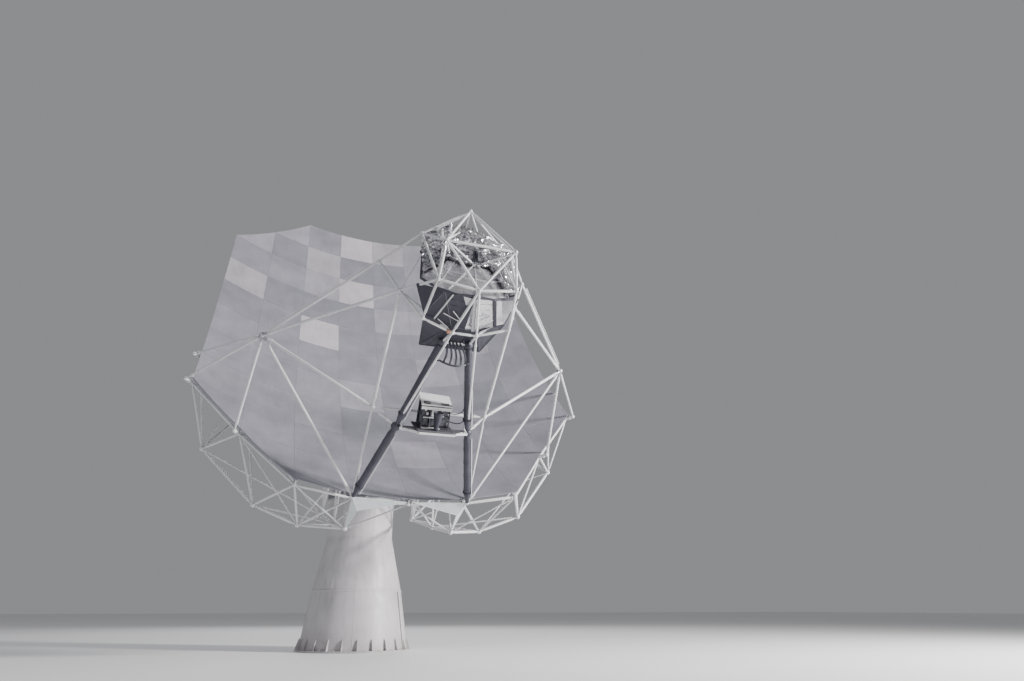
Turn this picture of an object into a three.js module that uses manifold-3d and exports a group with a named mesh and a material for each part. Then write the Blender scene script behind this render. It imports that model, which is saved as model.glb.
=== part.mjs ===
// Steerable radio telescope dish: conical steel pedestal, turnhead with yoke, offset main
// reflector on a tubular space frame, and a secondary mirror in a cage on long struts.
// Millimetres, +Z up. The origin is the centre of the pedestal's foot, on the ground.
// The mirror plane of the telescope is X = 0, and its low side looks towards -Y.
import * as THREE from 'three';
import { mergeVertices } from 'three/addons/utils/BufferGeometryUtils.js';
import Module from 'manifold-3d';

const wasm = await Module();
wasm.setup();

// Pose and axes
const REST_ELEVATION_DEG = 62.4;
const AXIS_HEIGHT = 8600;
const AXIS_FORWARD = 1550;

// Reflector, in the frame of its parent paraboloid z = (x^2 + y^2) / (4 f)
const FOCAL_LENGTH = 7570;
const AXIS_Y = 7900;
const AXIS_Z = 200;
const ROW_EDGES = [600, 3000, 4800, 6500, 8100, 9650, 10970, 12190, 13350, 14410, 15430];
const COLUMNS = 8;
const COLUMN_WIDTH = 1800;
const COLUMN_WIDTH_AT = 5000;
const COLUMN_TAPER = 0.0214;
const COLUMN_CURVE = 0.51e-6;
const PANEL_THICKNESS = 60;
const PANEL_GAP = 8;

// Back frame: tubes, posts under the panels' corners, and gaps that keep seated pieces apart
const CHORD_RADIUS = 50;
const BRACE_RADIUS = 38;
const TOP_CHORD_DEPTH = 240;
const NODE_POST_RADIUS = 90;
const NODE_POST_SIDES = 4;
const NODE_RADIUS = 140;
const EDGE_INSET = 110;
const TUBE_SIDES = 4;
const FRAME_SIDES = 3;
const SEAT_GAP = 0.3;
const PANEL_SEAT_GAP = 0.7;
const LEG_SEAT_GAP = 0.7;
// How far a cutting form reaches in front of the panels, and past their seams
const PANEL_SEAT_REACH = 400;
const PANEL_SEAT_OVERLAP = 2;

// Struts in front of the reflector, and their lugs beyond its edge
const STRUT_RADIUS = 56;
const THIN_STRUT_RADIUS = 46;
const LEG_RADIUS = 120;
const STRUT_SIDES = 6;
const SLEEVE_STEP = 16;
const MAIN_TRUSS_LINE = 5;
const LUG_REACH = 200;
const LUG_DEPTH = 90;
const LUG_RADIUS = 70;
const GUSSET_IN = 250;
const GUSSET_BACK = 160;
const GUSSET_DROP = 500;
const GUSSET_TIP = { x: 150, y: 430, z: -60 };
const GUSSET_THICKNESS = 30;

// Secondary mirror: part of an ellipsoid about the main focus and the feed
const FEED_FOCUS_Y = -920;
const FEED_FOCUS_Z = 3400;
const MIRROR_RAY_SUM = 6980;
const MIRROR_AXIS_DEG = 44;
const MIRROR_THICKNESS = 60;
const MIRROR_RINGS = 5;
const MIRROR_SEGMENTS = 24;
const MIRROR_SEAT_REACH = 900;
// Half angle of its rim, round its axis from its lowest point
const MIRROR_RIM_DEG = [[0, 50.5], [30, 54], [45, 56], [60, 49], [90, 47], [180, 46.5]];

// Pedestal and turnhead
const FOOT_RADIUS = 2300;
const FOOT_HEIGHT = 70;
const LOWER_CONE_TOP = 2300;
const LOWER_CONE_RADII = [2150, 1800];
const UPPER_CONE_TOP = 4300;
const UPPER_CONE_RADII = [1770, 1330];
const NECK_TOP = 5900;
const NECK_RADIUS = 1330;
const BEARING_HEIGHT = 260;
const BEARING_RADIUS = 1420;
const DRUM_HEIGHT = 800;
const DRUM_RADIUS = 1300;
const YOKE_INNER_X = 900;
const YOKE_WIDTH = 280;
const YOKE_HALF_FOOT = 900;
const YOKE_KNEE = [250, 7700];
const YOKE_HALF_TOP = 300;
const YOKE_TOP_RISE = 420;
const YOKE_BROW = [-420, -250];
const BEARING_HOUSING_RADIUS = 430;
const HOUSING_PROUD = 60;
const TORQUE_TUBE_RADIUS = 250;
const TORQUE_TUBE_HALF_LENGTH = 1730;
const AXIS_HUB_RADIUS = 330;
const AXIS_HUB_WIDTH = 260;
const AXIS_HUB_SIDES = 16;
const RUNNING_GAP = 6;
const AZIMUTH_SEAT_GAP = 0.3;
const BORE_RADIUS = 251;
const BORE_SIDES = 64;
const SECTOR_RADIUS = 1250;
const SECTOR_THICKNESS = 120;
const SECTOR_EYE_RADIUS = 225;
const SECTOR_SEGMENTS = 14;
const SECTOR_HALF_ANGLE_DEG = 42;
const DRIVE_SIZE = { x: 640, y: 700, z: 700 };
const DRIVE_Y = -350;

const PAINT = { color: 0xcfcfd6, roughness: 0.5, metalness: 0.1 };
const PANEL_PAINT = { color: 0xb9b7c4, roughness: 0.45, metalness: 0.3 };
const STEEL = { color: 0x8d9096, roughness: 0.45, metalness: 0.6 };
const SILVER = { color: 0xd8d8de, roughness: 0.3, metalness: 0.8 };
const DARK = { color: 0x4a4b55, roughness: 0.6, metalness: 0.2 };

const v3 = (x, y, z) => new THREE.Vector3(x, y, z);
const radians = THREE.MathUtils.degToRad;

// Solids
function toSolid(geometry) {
  const plain = geometry.clone();
  plain.deleteAttribute('normal');
  plain.deleteAttribute('uv');
  const merged = mergeVertices(plain, 0.01);
  const triVerts = Uint32Array.from(merged.index.array);
  const vertProperties = Float32Array.from(merged.attributes.position.array);
  return new wasm.Manifold(new wasm.Mesh({ numProp: 3, vertProperties, triVerts }));
}

function toGeometry(solid) {
  const mesh = solid.getMesh();
  const geometry = new THREE.BufferGeometry();
  geometry.setAttribute('position', new THREE.BufferAttribute(Float32Array.from(mesh.vertProperties), 3));
  geometry.setIndex(new THREE.BufferAttribute(Uint32Array.from(mesh.triVerts), 1));
  geometry.computeVertexNormals();
  return geometry;
}

// The greatest single body of a solid, without offcuts
function mainBody(solid) {
  const bodies = solid.decompose();
  return bodies.reduce((best, body) => (body.volume() > best.volume() ? body : best));
}

function join(solids) {
  return solids.reduce((sum, solid) => sum.add(solid));
}

function cutAll(solid, cutters) {
  return mainBody(cutters.reduce((rest, cutter) => rest.subtract(cutter), solid));
}

// A straight round bar from a to b
function bar(a, b, radius, sides = TUBE_SIDES) {
  const along = b.clone().sub(a);
  const geometry = new THREE.CylinderGeometry(radius, radius, along.length(), sides);
  const turn = new THREE.Quaternion().setFromUnitVectors(v3(0, 1, 0), along.clone().normalize());
  const middle = a.clone().add(b).multiplyScalar(0.5);
  geometry.applyMatrix4(new THREE.Matrix4().compose(middle, turn, v3(1, 1, 1)));
  return toSolid(geometry);
}

function box(size, centre) {
  const geometry = new THREE.BoxGeometry(size.x, size.y, size.z);
  geometry.translate(centre.x, centre.y, centre.z);
  return toSolid(geometry);
}

// A turned solid about a vertical axis, from [radius, height] pairs
function turned(profile, segments = 32) {
  const geometry = new THREE.LatheGeometry(profile.map(([r, z]) => new THREE.Vector2(r, z)), segments);
  geometry.rotateX(Math.PI / 2);
  return toSolid(geometry);
}

// A round bar along X
function crossBar(radius, halfLength, centre, sides = 32) {
  return bar(v3(-halfLength, centre.y, centre.z), v3(halfLength, centre.y, centre.z), radius, sides);
}

// Turns an extruded outline so that it lies in Y and Z, with its depth along X
const OUTLINE_TO_YZ = new THREE.Matrix4().makeBasis(v3(0, 1, 0), v3(0, 0, 1), v3(1, 0, 0));

// A flat outline in Y and Z, extruded along X
function plateAcross(points, xStart, width) {
  const shape = new THREE.Shape(points.map(([y, z]) => new THREE.Vector2(y, z)));
  const geometry = new THREE.ExtrudeGeometry(shape, { depth: width, bevelEnabled: false });
  geometry.applyMatrix4(OUTLINE_TO_YZ);
  geometry.translate(xStart, 0, 0);
  return toSolid(geometry);
}

function node(name, solid, paint) {
  const mesh = new THREE.Mesh(toGeometry(solid), new THREE.MeshStandardMaterial(paint));
  mesh.name = name;
  return mesh;
}

// Reflector surface
function surfaceZ(x, y) {
  return (x * x + y * y) / (4 * FOCAL_LENGTH);
}

function surfaceNormal(x, y) {
  return v3(-x / (2 * FOCAL_LENGTH), -y / (2 * FOCAL_LENGTH), 1).normalize();
}

// The point behind the reflecting surface at x, y, by a depth along the normal
function behind(x, y, depth = 0) {
  return v3(x, y, surfaceZ(x, y)).addScaledVector(surfaceNormal(x, y), -depth);
}

function columnWidth(y) {
  const up = y - COLUMN_WIDTH_AT;
  return COLUMN_WIDTH - COLUMN_TAPER * up - COLUMN_CURVE * up * up;
}

function seamX(line, y) {
  return (line - COLUMNS / 2) * columnWidth(y);
}

// Rows that each seam line reaches: the corners are cut off in steps of one panel
function seamRows(line) {
  const fromEdge = Math.min(line, COLUMNS - line);
  return {
    low: Math.max(2 - fromEdge, 0),
    high: ROW_EDGES.length - 1 - Math.max(2 - fromEdge, 0),
  };
}

function seamPoint(line, row, depth, inward = 0) {
  const y = ROW_EDGES[row];
  return behind(seamX(line, y) + inward, y, depth);
}

// One curved strip of panels between two seam lines, front and back at the given depths
function panelStrip(column, frontDepth, backDepth, gap) {
  const leftRows = seamRows(column);
  const rightRows = seamRows(column + 1);
  const low = Math.min(leftRows.low, rightRows.low);
  const high = Math.max(leftRows.high, rightRows.high);
  const positions = [];
  const ids = new Map();
  const vertex = (side, row, face) => {
    const key = `${side} ${row} ${face}`;
    if (!ids.has(key)) {
      const depth = face === 'front' ? frontDepth : backDepth;
      const line = side === 'left' ? column : column + 1;
      const inward = side === 'left' ? gap / 2 : -gap / 2;
      positions.push(...seamPoint(line, row, depth, inward).toArray());
      ids.set(key, ids.size);
    }
    return ids.get(key);
  };
  const outline = [];
  for (let row = leftRows.low; row <= leftRows.high; row += 1) outline.push(['left', row]);
  for (let row = rightRows.high; row >= rightRows.low; row -= 1) outline.push(['right', row]);
  const index = [];
  const face = (a, b, c) => {
    index.push(vertex(...a, 'front'), vertex(...b, 'front'), vertex(...c, 'front'));
    index.push(vertex(...c, 'back'), vertex(...b, 'back'), vertex(...a, 'back'));
  };
  for (let row = low; row < high; row += 1) {
    const has = (side, r) => {
      const rows = side === 'left' ? leftRows : rightRows;
      return r >= rows.low && r <= rows.high;
    };
    const corners = [['left', row], ['right', row], ['right', row + 1], ['left', row + 1]];
    const used = corners.filter(([side, r]) => has(side, r));
    face(used[0], used[1], used[2]);
    if (used.length === 4) face(used[0], used[2], used[3]);
  }
  outline.forEach((a, i) => {
    const b = outline[(i + 1) % outline.length];
    index.push(vertex(...a, 'front'), vertex(...b, 'front'), vertex(...b, 'back'));
    index.push(vertex(...a, 'front'), vertex(...b, 'back'), vertex(...a, 'back'));
  });
  const geometry = new THREE.BufferGeometry();
  geometry.setAttribute('position', new THREE.Float32BufferAttribute(positions, 3));
  geometry.setIndex(index);
  return toSolid(geometry);
}

// Everything in front of the panels' backs, less a seat gap, which trims the posts
const panelSeats = [];
for (let column = 0; column < COLUMNS; column += 1) {
  const back = PANEL_THICKNESS + PANEL_SEAT_GAP;
  panelSeats.push(panelStrip(column, -PANEL_SEAT_REACH, back, -PANEL_SEAT_OVERLAP));
}
const panelSeat = join(panelSeats);

// Whether a corner of panels lies on the reflector's edge
function isEdge(line, row) {
  const rows = seamRows(line);
  return line === 0 || line === COLUMNS || row === rows.low || row === rows.high;
}

// A top chord node below a corner of panels, drawn in from the reflector's edge
function top(line, row) {
  const y = ROW_EDGES[row];
  const corner = v3(seamX(line, y), y, 0);
  if (isEdge(line, row)) {
    const inward = v3(0, AXIS_Y, 0).sub(corner).normalize();
    corner.addScaledVector(inward, EDGE_INSET);
  }
  return behind(corner.x, corner.y, TOP_CHORD_DEPTH);
}

// Rear nodes of the right half of the back frame; the left half mirrors them
const FRAME_POINTS = {
  mainFoot: v3(1860, 1320, -1400),
  mainLow: v3(1860, 3560, -2150),
  mainKeel: v3(1860, 6540, -3040),
  mainAxis: v3(TORQUE_TUBE_HALF_LENGTH + AXIS_HUB_WIDTH / 2, AXIS_Y, AXIS_Z),
  mainHigh: v3(1800, 11000, 1550),
  mainHead: v3(1700, 13300, 3600),
  rimFoot: v3(3290, 2320, -1740),
  rimLow: v3(4810, 2500, -1170),
  rimSide: v3(6620, 4420, 50),
  sideAxis: v3(5300, 7900, 500),
  sideHigh: v3(4900, 11100, 2150),
  sideHead: v3(3350, 13300, 3900),
};

// Members between rear nodes and top chord nodes, which are given by seam line and row
const CHORDS = [
  ['mainFoot', 'mainLow'], ['mainLow', 'mainKeel'], ['mainKeel', 'mainAxis'],
  ['mainAxis', 'mainHigh'], ['mainHigh', 'mainHead'],
  ['mainFoot', 'rimFoot'], ['rimFoot', 'rimLow'], ['rimLow', 'rimSide'], ['rimSide', 'sideAxis'],
  ['sideAxis', 'sideHigh'], ['sideHigh', 'sideHead'], ['sideHead', 'mainHead'],
  ['rimFoot', 'mainLow'], ['mainKeel', 'sideAxis'], ['mainAxis', 'sideAxis'], ['mainHigh', 'sideHigh'],
  [[5, 0], [5, 1]], [[5, 1], [5, 2]], [[5, 2], [5, 3]], [[5, 3], [5, 5]],
  [[5, 5], [5, 7]], [[5, 7], [5, 9]], [[5, 9], [5, 10]],
  [[7, 1], [7, 3]], [[7, 3], [7, 5]], [[7, 5], [7, 7]], [[7, 7], [7, 9]],
  [[8, 2], [8, 3]], [[8, 3], [8, 5]], [[8, 5], [8, 7]], [[8, 7], [8, 8]],
  [[8, 2], [7, 1]], [[7, 1], [6, 0]], [[6, 0], [5, 0]],
  [[8, 8], [7, 9]], [[7, 9], [6, 10]], [[6, 10], [5, 10]],
  [[5, 1], [7, 1]], [[5, 3], [7, 3]], [[7, 3], [8, 3]], [[5, 5], [7, 5]], [[7, 5], [8, 5]],
  [[5, 7], [7, 7]], [[7, 7], [8, 7]], [[5, 9], [7, 9]],
];

const BRACES = [
  ['mainFoot', [5, 0]], ['mainFoot', [5, 1]], ['mainLow', [5, 1]], ['mainLow', [5, 2]],
  ['mainKeel', [5, 2]], ['mainKeel', [5, 3]],
  ['mainAxis', [5, 3]], ['mainAxis', [5, 5]], ['mainHigh', [5, 5]], ['mainHigh', [5, 7]],
  ['mainHead', [5, 7]], ['mainHead', [5, 9]], ['mainHead', [5, 10]],
  ['rimFoot', [5, 0]], ['rimFoot', [6, 0]], ['rimFoot', [5, 1]], ['rimLow', [6, 0]], ['rimLow', [7, 1]],
  ['rimLow', [7, 3]], ['rimSide', [7, 1]], ['rimSide', [8, 2]], ['rimSide', [8, 3]], ['rimSide', [7, 3]],
  ['sideAxis', [7, 3]], ['sideAxis', [7, 5]], ['sideAxis', [8, 3]], ['sideAxis', [8, 5]],
  ['sideHigh', [7, 5]], ['sideHigh', [7, 7]], ['sideHigh', [8, 5]], ['sideHigh', [8, 7]],
  ['sideHead', [7, 7]], ['sideHead', [7, 9]], ['sideHead', [6, 10]],
];

// Top chord nodes with a post that carries the panels
const HALF_POSTS = [
  [5, 0], [5, 1], [5, 2], [5, 3], [5, 5], [5, 7], [5, 9], [5, 10], [6, 0], [6, 10],
  [7, 1], [7, 3], [7, 5], [7, 7], [7, 9], [8, 2], [8, 3], [8, 5], [8, 7], [8, 8],
];

function framePoint(name, side) {
  const point = typeof name === 'string' ? FRAME_POINTS[name].clone() : top(...name);
  point.x *= side;
  return point;
}

// A square post at a top chord node
function nodePost(line, row, side, extra = 0) {
  const foot = framePoint([line, row], side);
  const normal = surfaceNormal(foot.x, foot.y);
  const bottom = foot.clone().addScaledVector(normal, -NODE_POST_RADIUS - extra);
  const end = foot.clone().addScaledVector(normal, TOP_CHORD_DEPTH);
  return bar(bottom, end, NODE_POST_RADIUS + extra, NODE_POST_SIDES);
}

// An eight-faced block where the bars of a node meet
function block(point, radius) {
  const geometry = new THREE.OctahedronGeometry(radius);
  geometry.translate(point.x, point.y, point.z);
  return toSolid(geometry);
}

// A lug beyond the panels' edge, where a strut in front of the reflector is fastened
function lugPoint(line, row, side) {
  const y = ROW_EDGES[row];
  const x = side * seamX(line, y);
  const outward = v3(x, y - AXIS_Y, 0).normalize();
  return behind(x, y, LUG_DEPTH).addScaledVector(outward, LUG_REACH);
}

// A sleeve at a node, which meets the end of the strut that runs towards another point
function sleeve(at, towards, radius, length, extra = 0) {
  const along = towards.clone().sub(at).normalize();
  const start = at.clone().addScaledVector(along, -extra);
  const end = at.clone().addScaledVector(along, length + extra);
  return bar(start, end, radius + SLEEVE_STEP + extra, STRUT_SIDES);
}

// The main truss's hub on the elevation axis
function axisHub(side, extra) {
  const inner = side * (TORQUE_TUBE_HALF_LENGTH - extra);
  const outer = side * (TORQUE_TUBE_HALF_LENGTH + AXIS_HUB_WIDTH + extra);
  return bar(v3(inner, AXIS_Y, AXIS_Z), v3(outer, AXIS_Y, AXIS_Z), AXIS_HUB_RADIUS + extra, AXIS_HUB_SIDES);
}

// A thin flat plate with the given corners
function plate(corners, thickness) {
  const across = corners[1].clone().sub(corners[0]).cross(corners[2].clone().sub(corners[0])).normalize();
  const positions = [];
  [1, -1].forEach((face) => corners.forEach((corner) => {
    positions.push(...corner.clone().addScaledVector(across, face * thickness / 2).toArray());
  }));
  const count = corners.length;
  const index = [];
  for (let i = 1; i < count - 1; i += 1) {
    index.push(0, i, i + 1);
    index.push(count, count + i + 1, count + i);
  }
  for (let i = 0; i < count; i += 1) {
    const next = (i + 1) % count;
    index.push(i, i + count, next + count);
    index.push(i, next + count, next);
  }
  const geometry = new THREE.BufferGeometry();
  geometry.setAttribute('position', new THREE.Float32BufferAttribute(positions, 3));
  geometry.setIndex(index);
  return toSolid(geometry);
}

// Members whose ends are both on the main truss belong to it, the rest to the side frame
function onMainTruss(name) {
  return typeof name === 'string' ? name.startsWith('main') : name[0] === MAIN_TRUSS_LINE;
}

function frameBars(members, side, radius, wanted) {
  return members.filter(([a, b]) => (onMainTruss(a) && onMainTruss(b)) === wanted).map(([a, b]) => (
    bar(framePoint(a, side), framePoint(b, side), radius, FRAME_SIDES)
  ));
}

// Chords, braces, posts, blocks, lugs and strut sleeves of one truss
function trussParts(side, wanted, extra) {
  const lugs = LUGS.filter((lug) => onMainTruss(lug) === wanted);
  const posts = HALF_POSTS.filter((post) => onMainTruss(post) === wanted);
  const rearNodes = Object.keys(FRAME_POINTS).filter((name) => name !== 'mainAxis');
  const blocks = rearNodes.filter((name) => onMainTruss(name) === wanted);
  const struts = STRUTS.filter(({ to }) => Array.isArray(to) && onMainTruss(to) === wanted);
  return [
    ...posts.map(([line, row]) => nodePost(line, row, side, extra)),
    ...blocks.map((name) => block(framePoint(name, side), NODE_RADIUS + extra)),
    ...lugs.map(([line, row]) => (
      bar(framePoint([line, row], side), lugPoint(line, row, side), LUG_RADIUS + extra, STRUT_SIDES)
    )),
    ...struts.map(({ from, to, radius, sleeves }) => (
      sleeve(lugPoint(...to, side), strutPoint(from, side), radius, sleeves[1], extra)
    )),
    ...frameBars(CHORDS, side, CHORD_RADIUS + extra, wanted),
    ...frameBars(BRACES, side, BRACE_RADIUS + extra, wanted),
  ];
}

// Folded plates under the reflector's lower edge, from a leg's foot to the middle and to the truss
function gussets(side, extra) {
  const thickness = GUSSET_THICKNESS + 2 * extra;
  const foot = lugPoint(MAIN_TRUSS_LINE, 0, side);
  const corner = v3(foot.x - side * GUSSET_IN, foot.y + GUSSET_BACK, foot.z - GUSSET_DROP);
  const tip = v3(side * GUSSET_TIP.x, GUSSET_TIP.y, GUSSET_TIP.z);
  return [
    plate([foot, corner, tip], thickness),
    plate([foot, corner, framePoint('mainFoot', side)], thickness),
    block(corner, thickness),
  ];
}

function mainTruss(side, extra) {
  const foot = strutPoint([MAIN_TRUSS_LINE, 0], side);
  const legFoot = sleeve(foot, strutPoint('platform', side), LEG_RADIUS, LEG_SLEEVE, extra);
  return join([axisHub(side, extra), ...trussParts(side, true, extra), ...gussets(side, extra), legFoot]);
}

function sideFrame(side) {
  return join(trussParts(side, false, 0));
}

// Middle of the back frame, between the two main trusses
const CENTRE_ROWS = [0, 1, 3, 5, 7, 9, 10];
const CENTRE_HIGH = v3(0, 11000, 1550);
const CENTRE_HEAD = v3(0, 13300, 3600);

function centreFrame() {
  const solids = [];
  CENTRE_ROWS.forEach((row, i) => {
    solids.push(bar(top(4, row), framePoint([5, row], 1), CHORD_RADIUS, FRAME_SIDES));
    solids.push(bar(top(4, row), framePoint([5, row], -1), CHORD_RADIUS, FRAME_SIDES));
    solids.push(nodePost(4, row, 1));
    if (i > 0) solids.push(bar(top(4, CENTRE_ROWS[i - 1]), top(4, row), CHORD_RADIUS, FRAME_SIDES));
  });
  solids.push(bar(CENTRE_HIGH, CENTRE_HEAD, CHORD_RADIUS, FRAME_SIDES));
  [-1, 1].forEach((side) => {
    solids.push(bar(CENTRE_HIGH, framePoint('mainHigh', side), CHORD_RADIUS, FRAME_SIDES));
    solids.push(bar(CENTRE_HEAD, framePoint('mainHead', side), CHORD_RADIUS, FRAME_SIDES));
  });
  [5, 7].forEach((row) => solids.push(bar(CENTRE_HIGH, top(4, row), BRACE_RADIUS, FRAME_SIDES)));
  [7, 9].forEach((row) => solids.push(bar(CENTRE_HEAD, top(4, row), BRACE_RADIUS, FRAME_SIDES)));
  solids.push(block(CENTRE_HIGH, NODE_RADIUS), block(CENTRE_HEAD, NODE_RADIUS));
  return join(solids);
}

// Struts in front of the reflector, right side; the left side mirrors them
const STRUT_POINTS = {
  wing: v3(5270, 2180, 4640),
  elbow: v3(1860, 0, 3150),
  platform: v3(1170, -590, 2750),
  shoulder: v3(2350, 0, 7680),
  hip: v3(1830, -1100, 6970),
  legHead: v3(420, -1520, 5680),
};

// Secondary mirror cage, right side
const CAGE_POINTS = {
  apex: v3(0, -780, 9630),
  roof: v3(1390, -880, 8730),
  brow: v3(1040, -2480, 8670),
  cheek: v3(1165, -2750, 7575),
  nose: v3(0, -2940, 7440),
  jaw: v3(1310, -2290, 6390),
  chin: v3(370, -2250, 6080),
};

// Each strut runs from a named point to another, or to a lug at a seam line and row. A sleeve of
// the given length holds it at each end.
const LUGS = [[5, 0], [7, 1], [8, 2], [8, 3]];
const STRUTS = [
  { name: 'wing_to_cage_top', from: 'wing', to: 'shoulder', radius: STRUT_RADIUS, sleeves: [650, 250] },
  { name: 'wing_to_cage_side', from: 'wing', to: 'hip', radius: STRUT_RADIUS, sleeves: [650, 250] },
  { name: 'wing_to_foot', from: 'wing', to: [5, 0], radius: STRUT_RADIUS, sleeves: [350, 300] },
  { name: 'wing_to_rim', from: 'wing', to: [7, 1], radius: STRUT_RADIUS, sleeves: [350, 250] },
  { name: 'wing_to_corner', from: 'wing', to: [8, 2], radius: STRUT_RADIUS, sleeves: [480, 250] },
  { name: 'wing_to_edge', from: 'wing', to: [8, 3], radius: THIN_STRUT_RADIUS, sleeves: [480, 250] },
  { name: 'wing_to_elbow', from: 'wing', to: 'elbow', radius: STRUT_RADIUS, sleeves: [350, 250] },
  { name: 'elbow_to_cage', from: 'elbow', to: 'hip', radius: STRUT_RADIUS, sleeves: [250, 250] },
  { name: 'elbow_to_foot', from: 'elbow', to: [5, 0], radius: THIN_STRUT_RADIUS, sleeves: [250, 720] },
  {
    name: 'platform_to_chin', from: 'platform', to: 'chin',
    radius: THIN_STRUT_RADIUS, sleeves: [1320, 200],
  },
];
const KNEE_RADIUS = 140;
const LEG_SLEEVE = 660;
const LEG_HEAD_SLEEVE = 300;

function strutPoint(place, side) {
  if (Array.isArray(place)) return lugPoint(...place, side);
  const point = STRUT_POINTS[place] ?? CAGE_POINTS[place];
  return v3(point.x * side, point.y, point.z);
}

// A node in front of the reflector: the sleeves of every strut that meets there
function strutNode(place, side, extra = 0) {
  const at = strutPoint(place, side);
  return join(STRUTS.flatMap(({ from, to, radius, sleeves }) => {
    if (from === place) return [sleeve(at, strutPoint(to, side), radius, sleeves[0], extra)];
    if (to === place) return [sleeve(at, strutPoint(from, side), radius, sleeves[1], extra)];
    return [];
  }));
}

// The clear length of a strut between its two sleeves
function strut(a, b, radius, sleeves) {
  const along = b.clone().sub(a).normalize();
  const start = a.clone().addScaledVector(along, sleeves[0] + SEAT_GAP);
  const end = b.clone().addScaledVector(along, -sleeves[1] - SEAT_GAP);
  return bar(start, end, radius, STRUT_SIDES);
}

// A leg from its lug at the lower edge, past the feed platform, to the cage's lower frame
function leg(side, extra = 0) {
  const foot = strutPoint([5, 0], side);
  const knee = strutPoint('platform', side);
  const head = strutPoint('legHead', side);
  const upwards = knee.clone().sub(foot).normalize();
  const start = foot.clone().addScaledVector(upwards, LEG_SLEEVE + SEAT_GAP);
  const downwards = knee.clone().sub(head).normalize();
  const end = head.clone().addScaledVector(downwards, LEG_HEAD_SLEEVE + SEAT_GAP);
  const ball = new THREE.IcosahedronGeometry(KNEE_RADIUS + extra, 1);
  ball.translate(knee.x, knee.y, knee.z);
  const thin = STRUTS.find(({ from }) => from === 'platform');
  return join([
    bar(start, knee, LEG_RADIUS + extra, STRUT_SIDES),
    bar(knee, end, LEG_RADIUS + extra, STRUT_SIDES),
    sleeve(knee, strutPoint('chin', side), thin.radius, thin.sleeves[0], extra),
    toSolid(ball),
  ]);
}

// Secondary mirror
const MAIN_FOCUS = v3(0, 0, FOCAL_LENGTH);
const FEED_FOCUS = v3(0, FEED_FOCUS_Y, FEED_FOCUS_Z);
const MIRROR_AXIS = v3(0, -Math.cos(radians(MIRROR_AXIS_DEG)), Math.sin(radians(MIRROR_AXIS_DEG)));

// Distance from the main focus to the ellipsoid, in a given direction
function mirrorDistance(direction) {
  const toFeed = FEED_FOCUS.clone().sub(MAIN_FOCUS);
  const halfSum = MIRROR_RAY_SUM / 2;
  const halfSpan = toFeed.length() / 2;
  const towardsFeed = direction.dot(toFeed.normalize());
  return (halfSum ** 2 - halfSpan ** 2) / (halfSum - halfSpan * towardsFeed);
}

// Half angle of the mirror's rim, at an angle round its axis from its lowest point
function rimAngle(roundDeg) {
  const next = MIRROR_RIM_DEG.findIndex(([angle]) => angle > Math.min(roundDeg, 179.9));
  const [fromAngle, fromRim] = MIRROR_RIM_DEG[next - 1];
  const [toAngle, toRim] = MIRROR_RIM_DEG[next];
  return THREE.MathUtils.mapLinear(roundDeg, fromAngle, toAngle, fromRim, toRim);
}

// The direction from the main focus at an angle from the mirror's axis, and one round it
function mirrorDirection(outDeg, roundDeg) {
  const down = v3(0, -MIRROR_AXIS.z, MIRROR_AXIS.y);
  const out = radians(outDeg);
  const round = radians(roundDeg);
  return MIRROR_AXIS.clone().multiplyScalar(Math.cos(out))
    .addScaledVector(down, Math.sin(out) * Math.cos(round))
    .addScaledVector(v3(1, 0, 0), Math.sin(out) * Math.sin(round));
}

// The mirror's shell between two distances behind its reflecting surface
function mirrorShell(frontOffset, backOffset, rings = MIRROR_RINGS) {
  const positions = [];
  const index = [];
  const layers = [frontOffset, backOffset];
  const layerSize = 1 + rings * MIRROR_SEGMENTS;
  const ringStart = (layer, ring) => layer * layerSize + 1 + (ring - 1) * MIRROR_SEGMENTS;
  layers.forEach((offset, layer) => {
    const put = (direction) => {
      const point = direction.clone().multiplyScalar(mirrorDistance(direction) + offset).add(MAIN_FOCUS);
      positions.push(...point.toArray());
    };
    put(MIRROR_AXIS);
    for (let ring = 1; ring <= rings; ring += 1) {
      for (let i = 0; i < MIRROR_SEGMENTS; i += 1) {
        const roundDeg = (360 / MIRROR_SEGMENTS) * i;
        const rim = rimAngle(roundDeg > 180 ? 360 - roundDeg : roundDeg);
        put(mirrorDirection((rim / MIRROR_RINGS) * ring, roundDeg));
      }
    }
    const face = (a, b, c) => index.push(...(layer === 0 ? [a, c, b] : [a, b, c]));
    for (let i = 0; i < MIRROR_SEGMENTS; i += 1) {
      const next = (i + 1) % MIRROR_SEGMENTS;
      face(ringStart(layer, 1) - 1, ringStart(layer, 1) + i, ringStart(layer, 1) + next);
      for (let ring = 1; ring < rings; ring += 1) {
        const inner = ringStart(layer, ring);
        const outer = ringStart(layer, ring + 1);
        face(inner + i, outer + i, outer + next);
        face(inner + i, outer + next, inner + next);
      }
    }
  });
  for (let i = 0; i < MIRROR_SEGMENTS; i += 1) {
    const next = (i + 1) % MIRROR_SEGMENTS;
    const front = ringStart(0, rings);
    const back = ringStart(1, rings);
    index.push(front + i, front + next, back + next, front + i, back + next, back + i);
  }
  const geometry = new THREE.BufferGeometry();
  geometry.setAttribute('position', new THREE.Float32BufferAttribute(positions, 3));
  geometry.setIndex(index);
  return toSolid(geometry);
}

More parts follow.
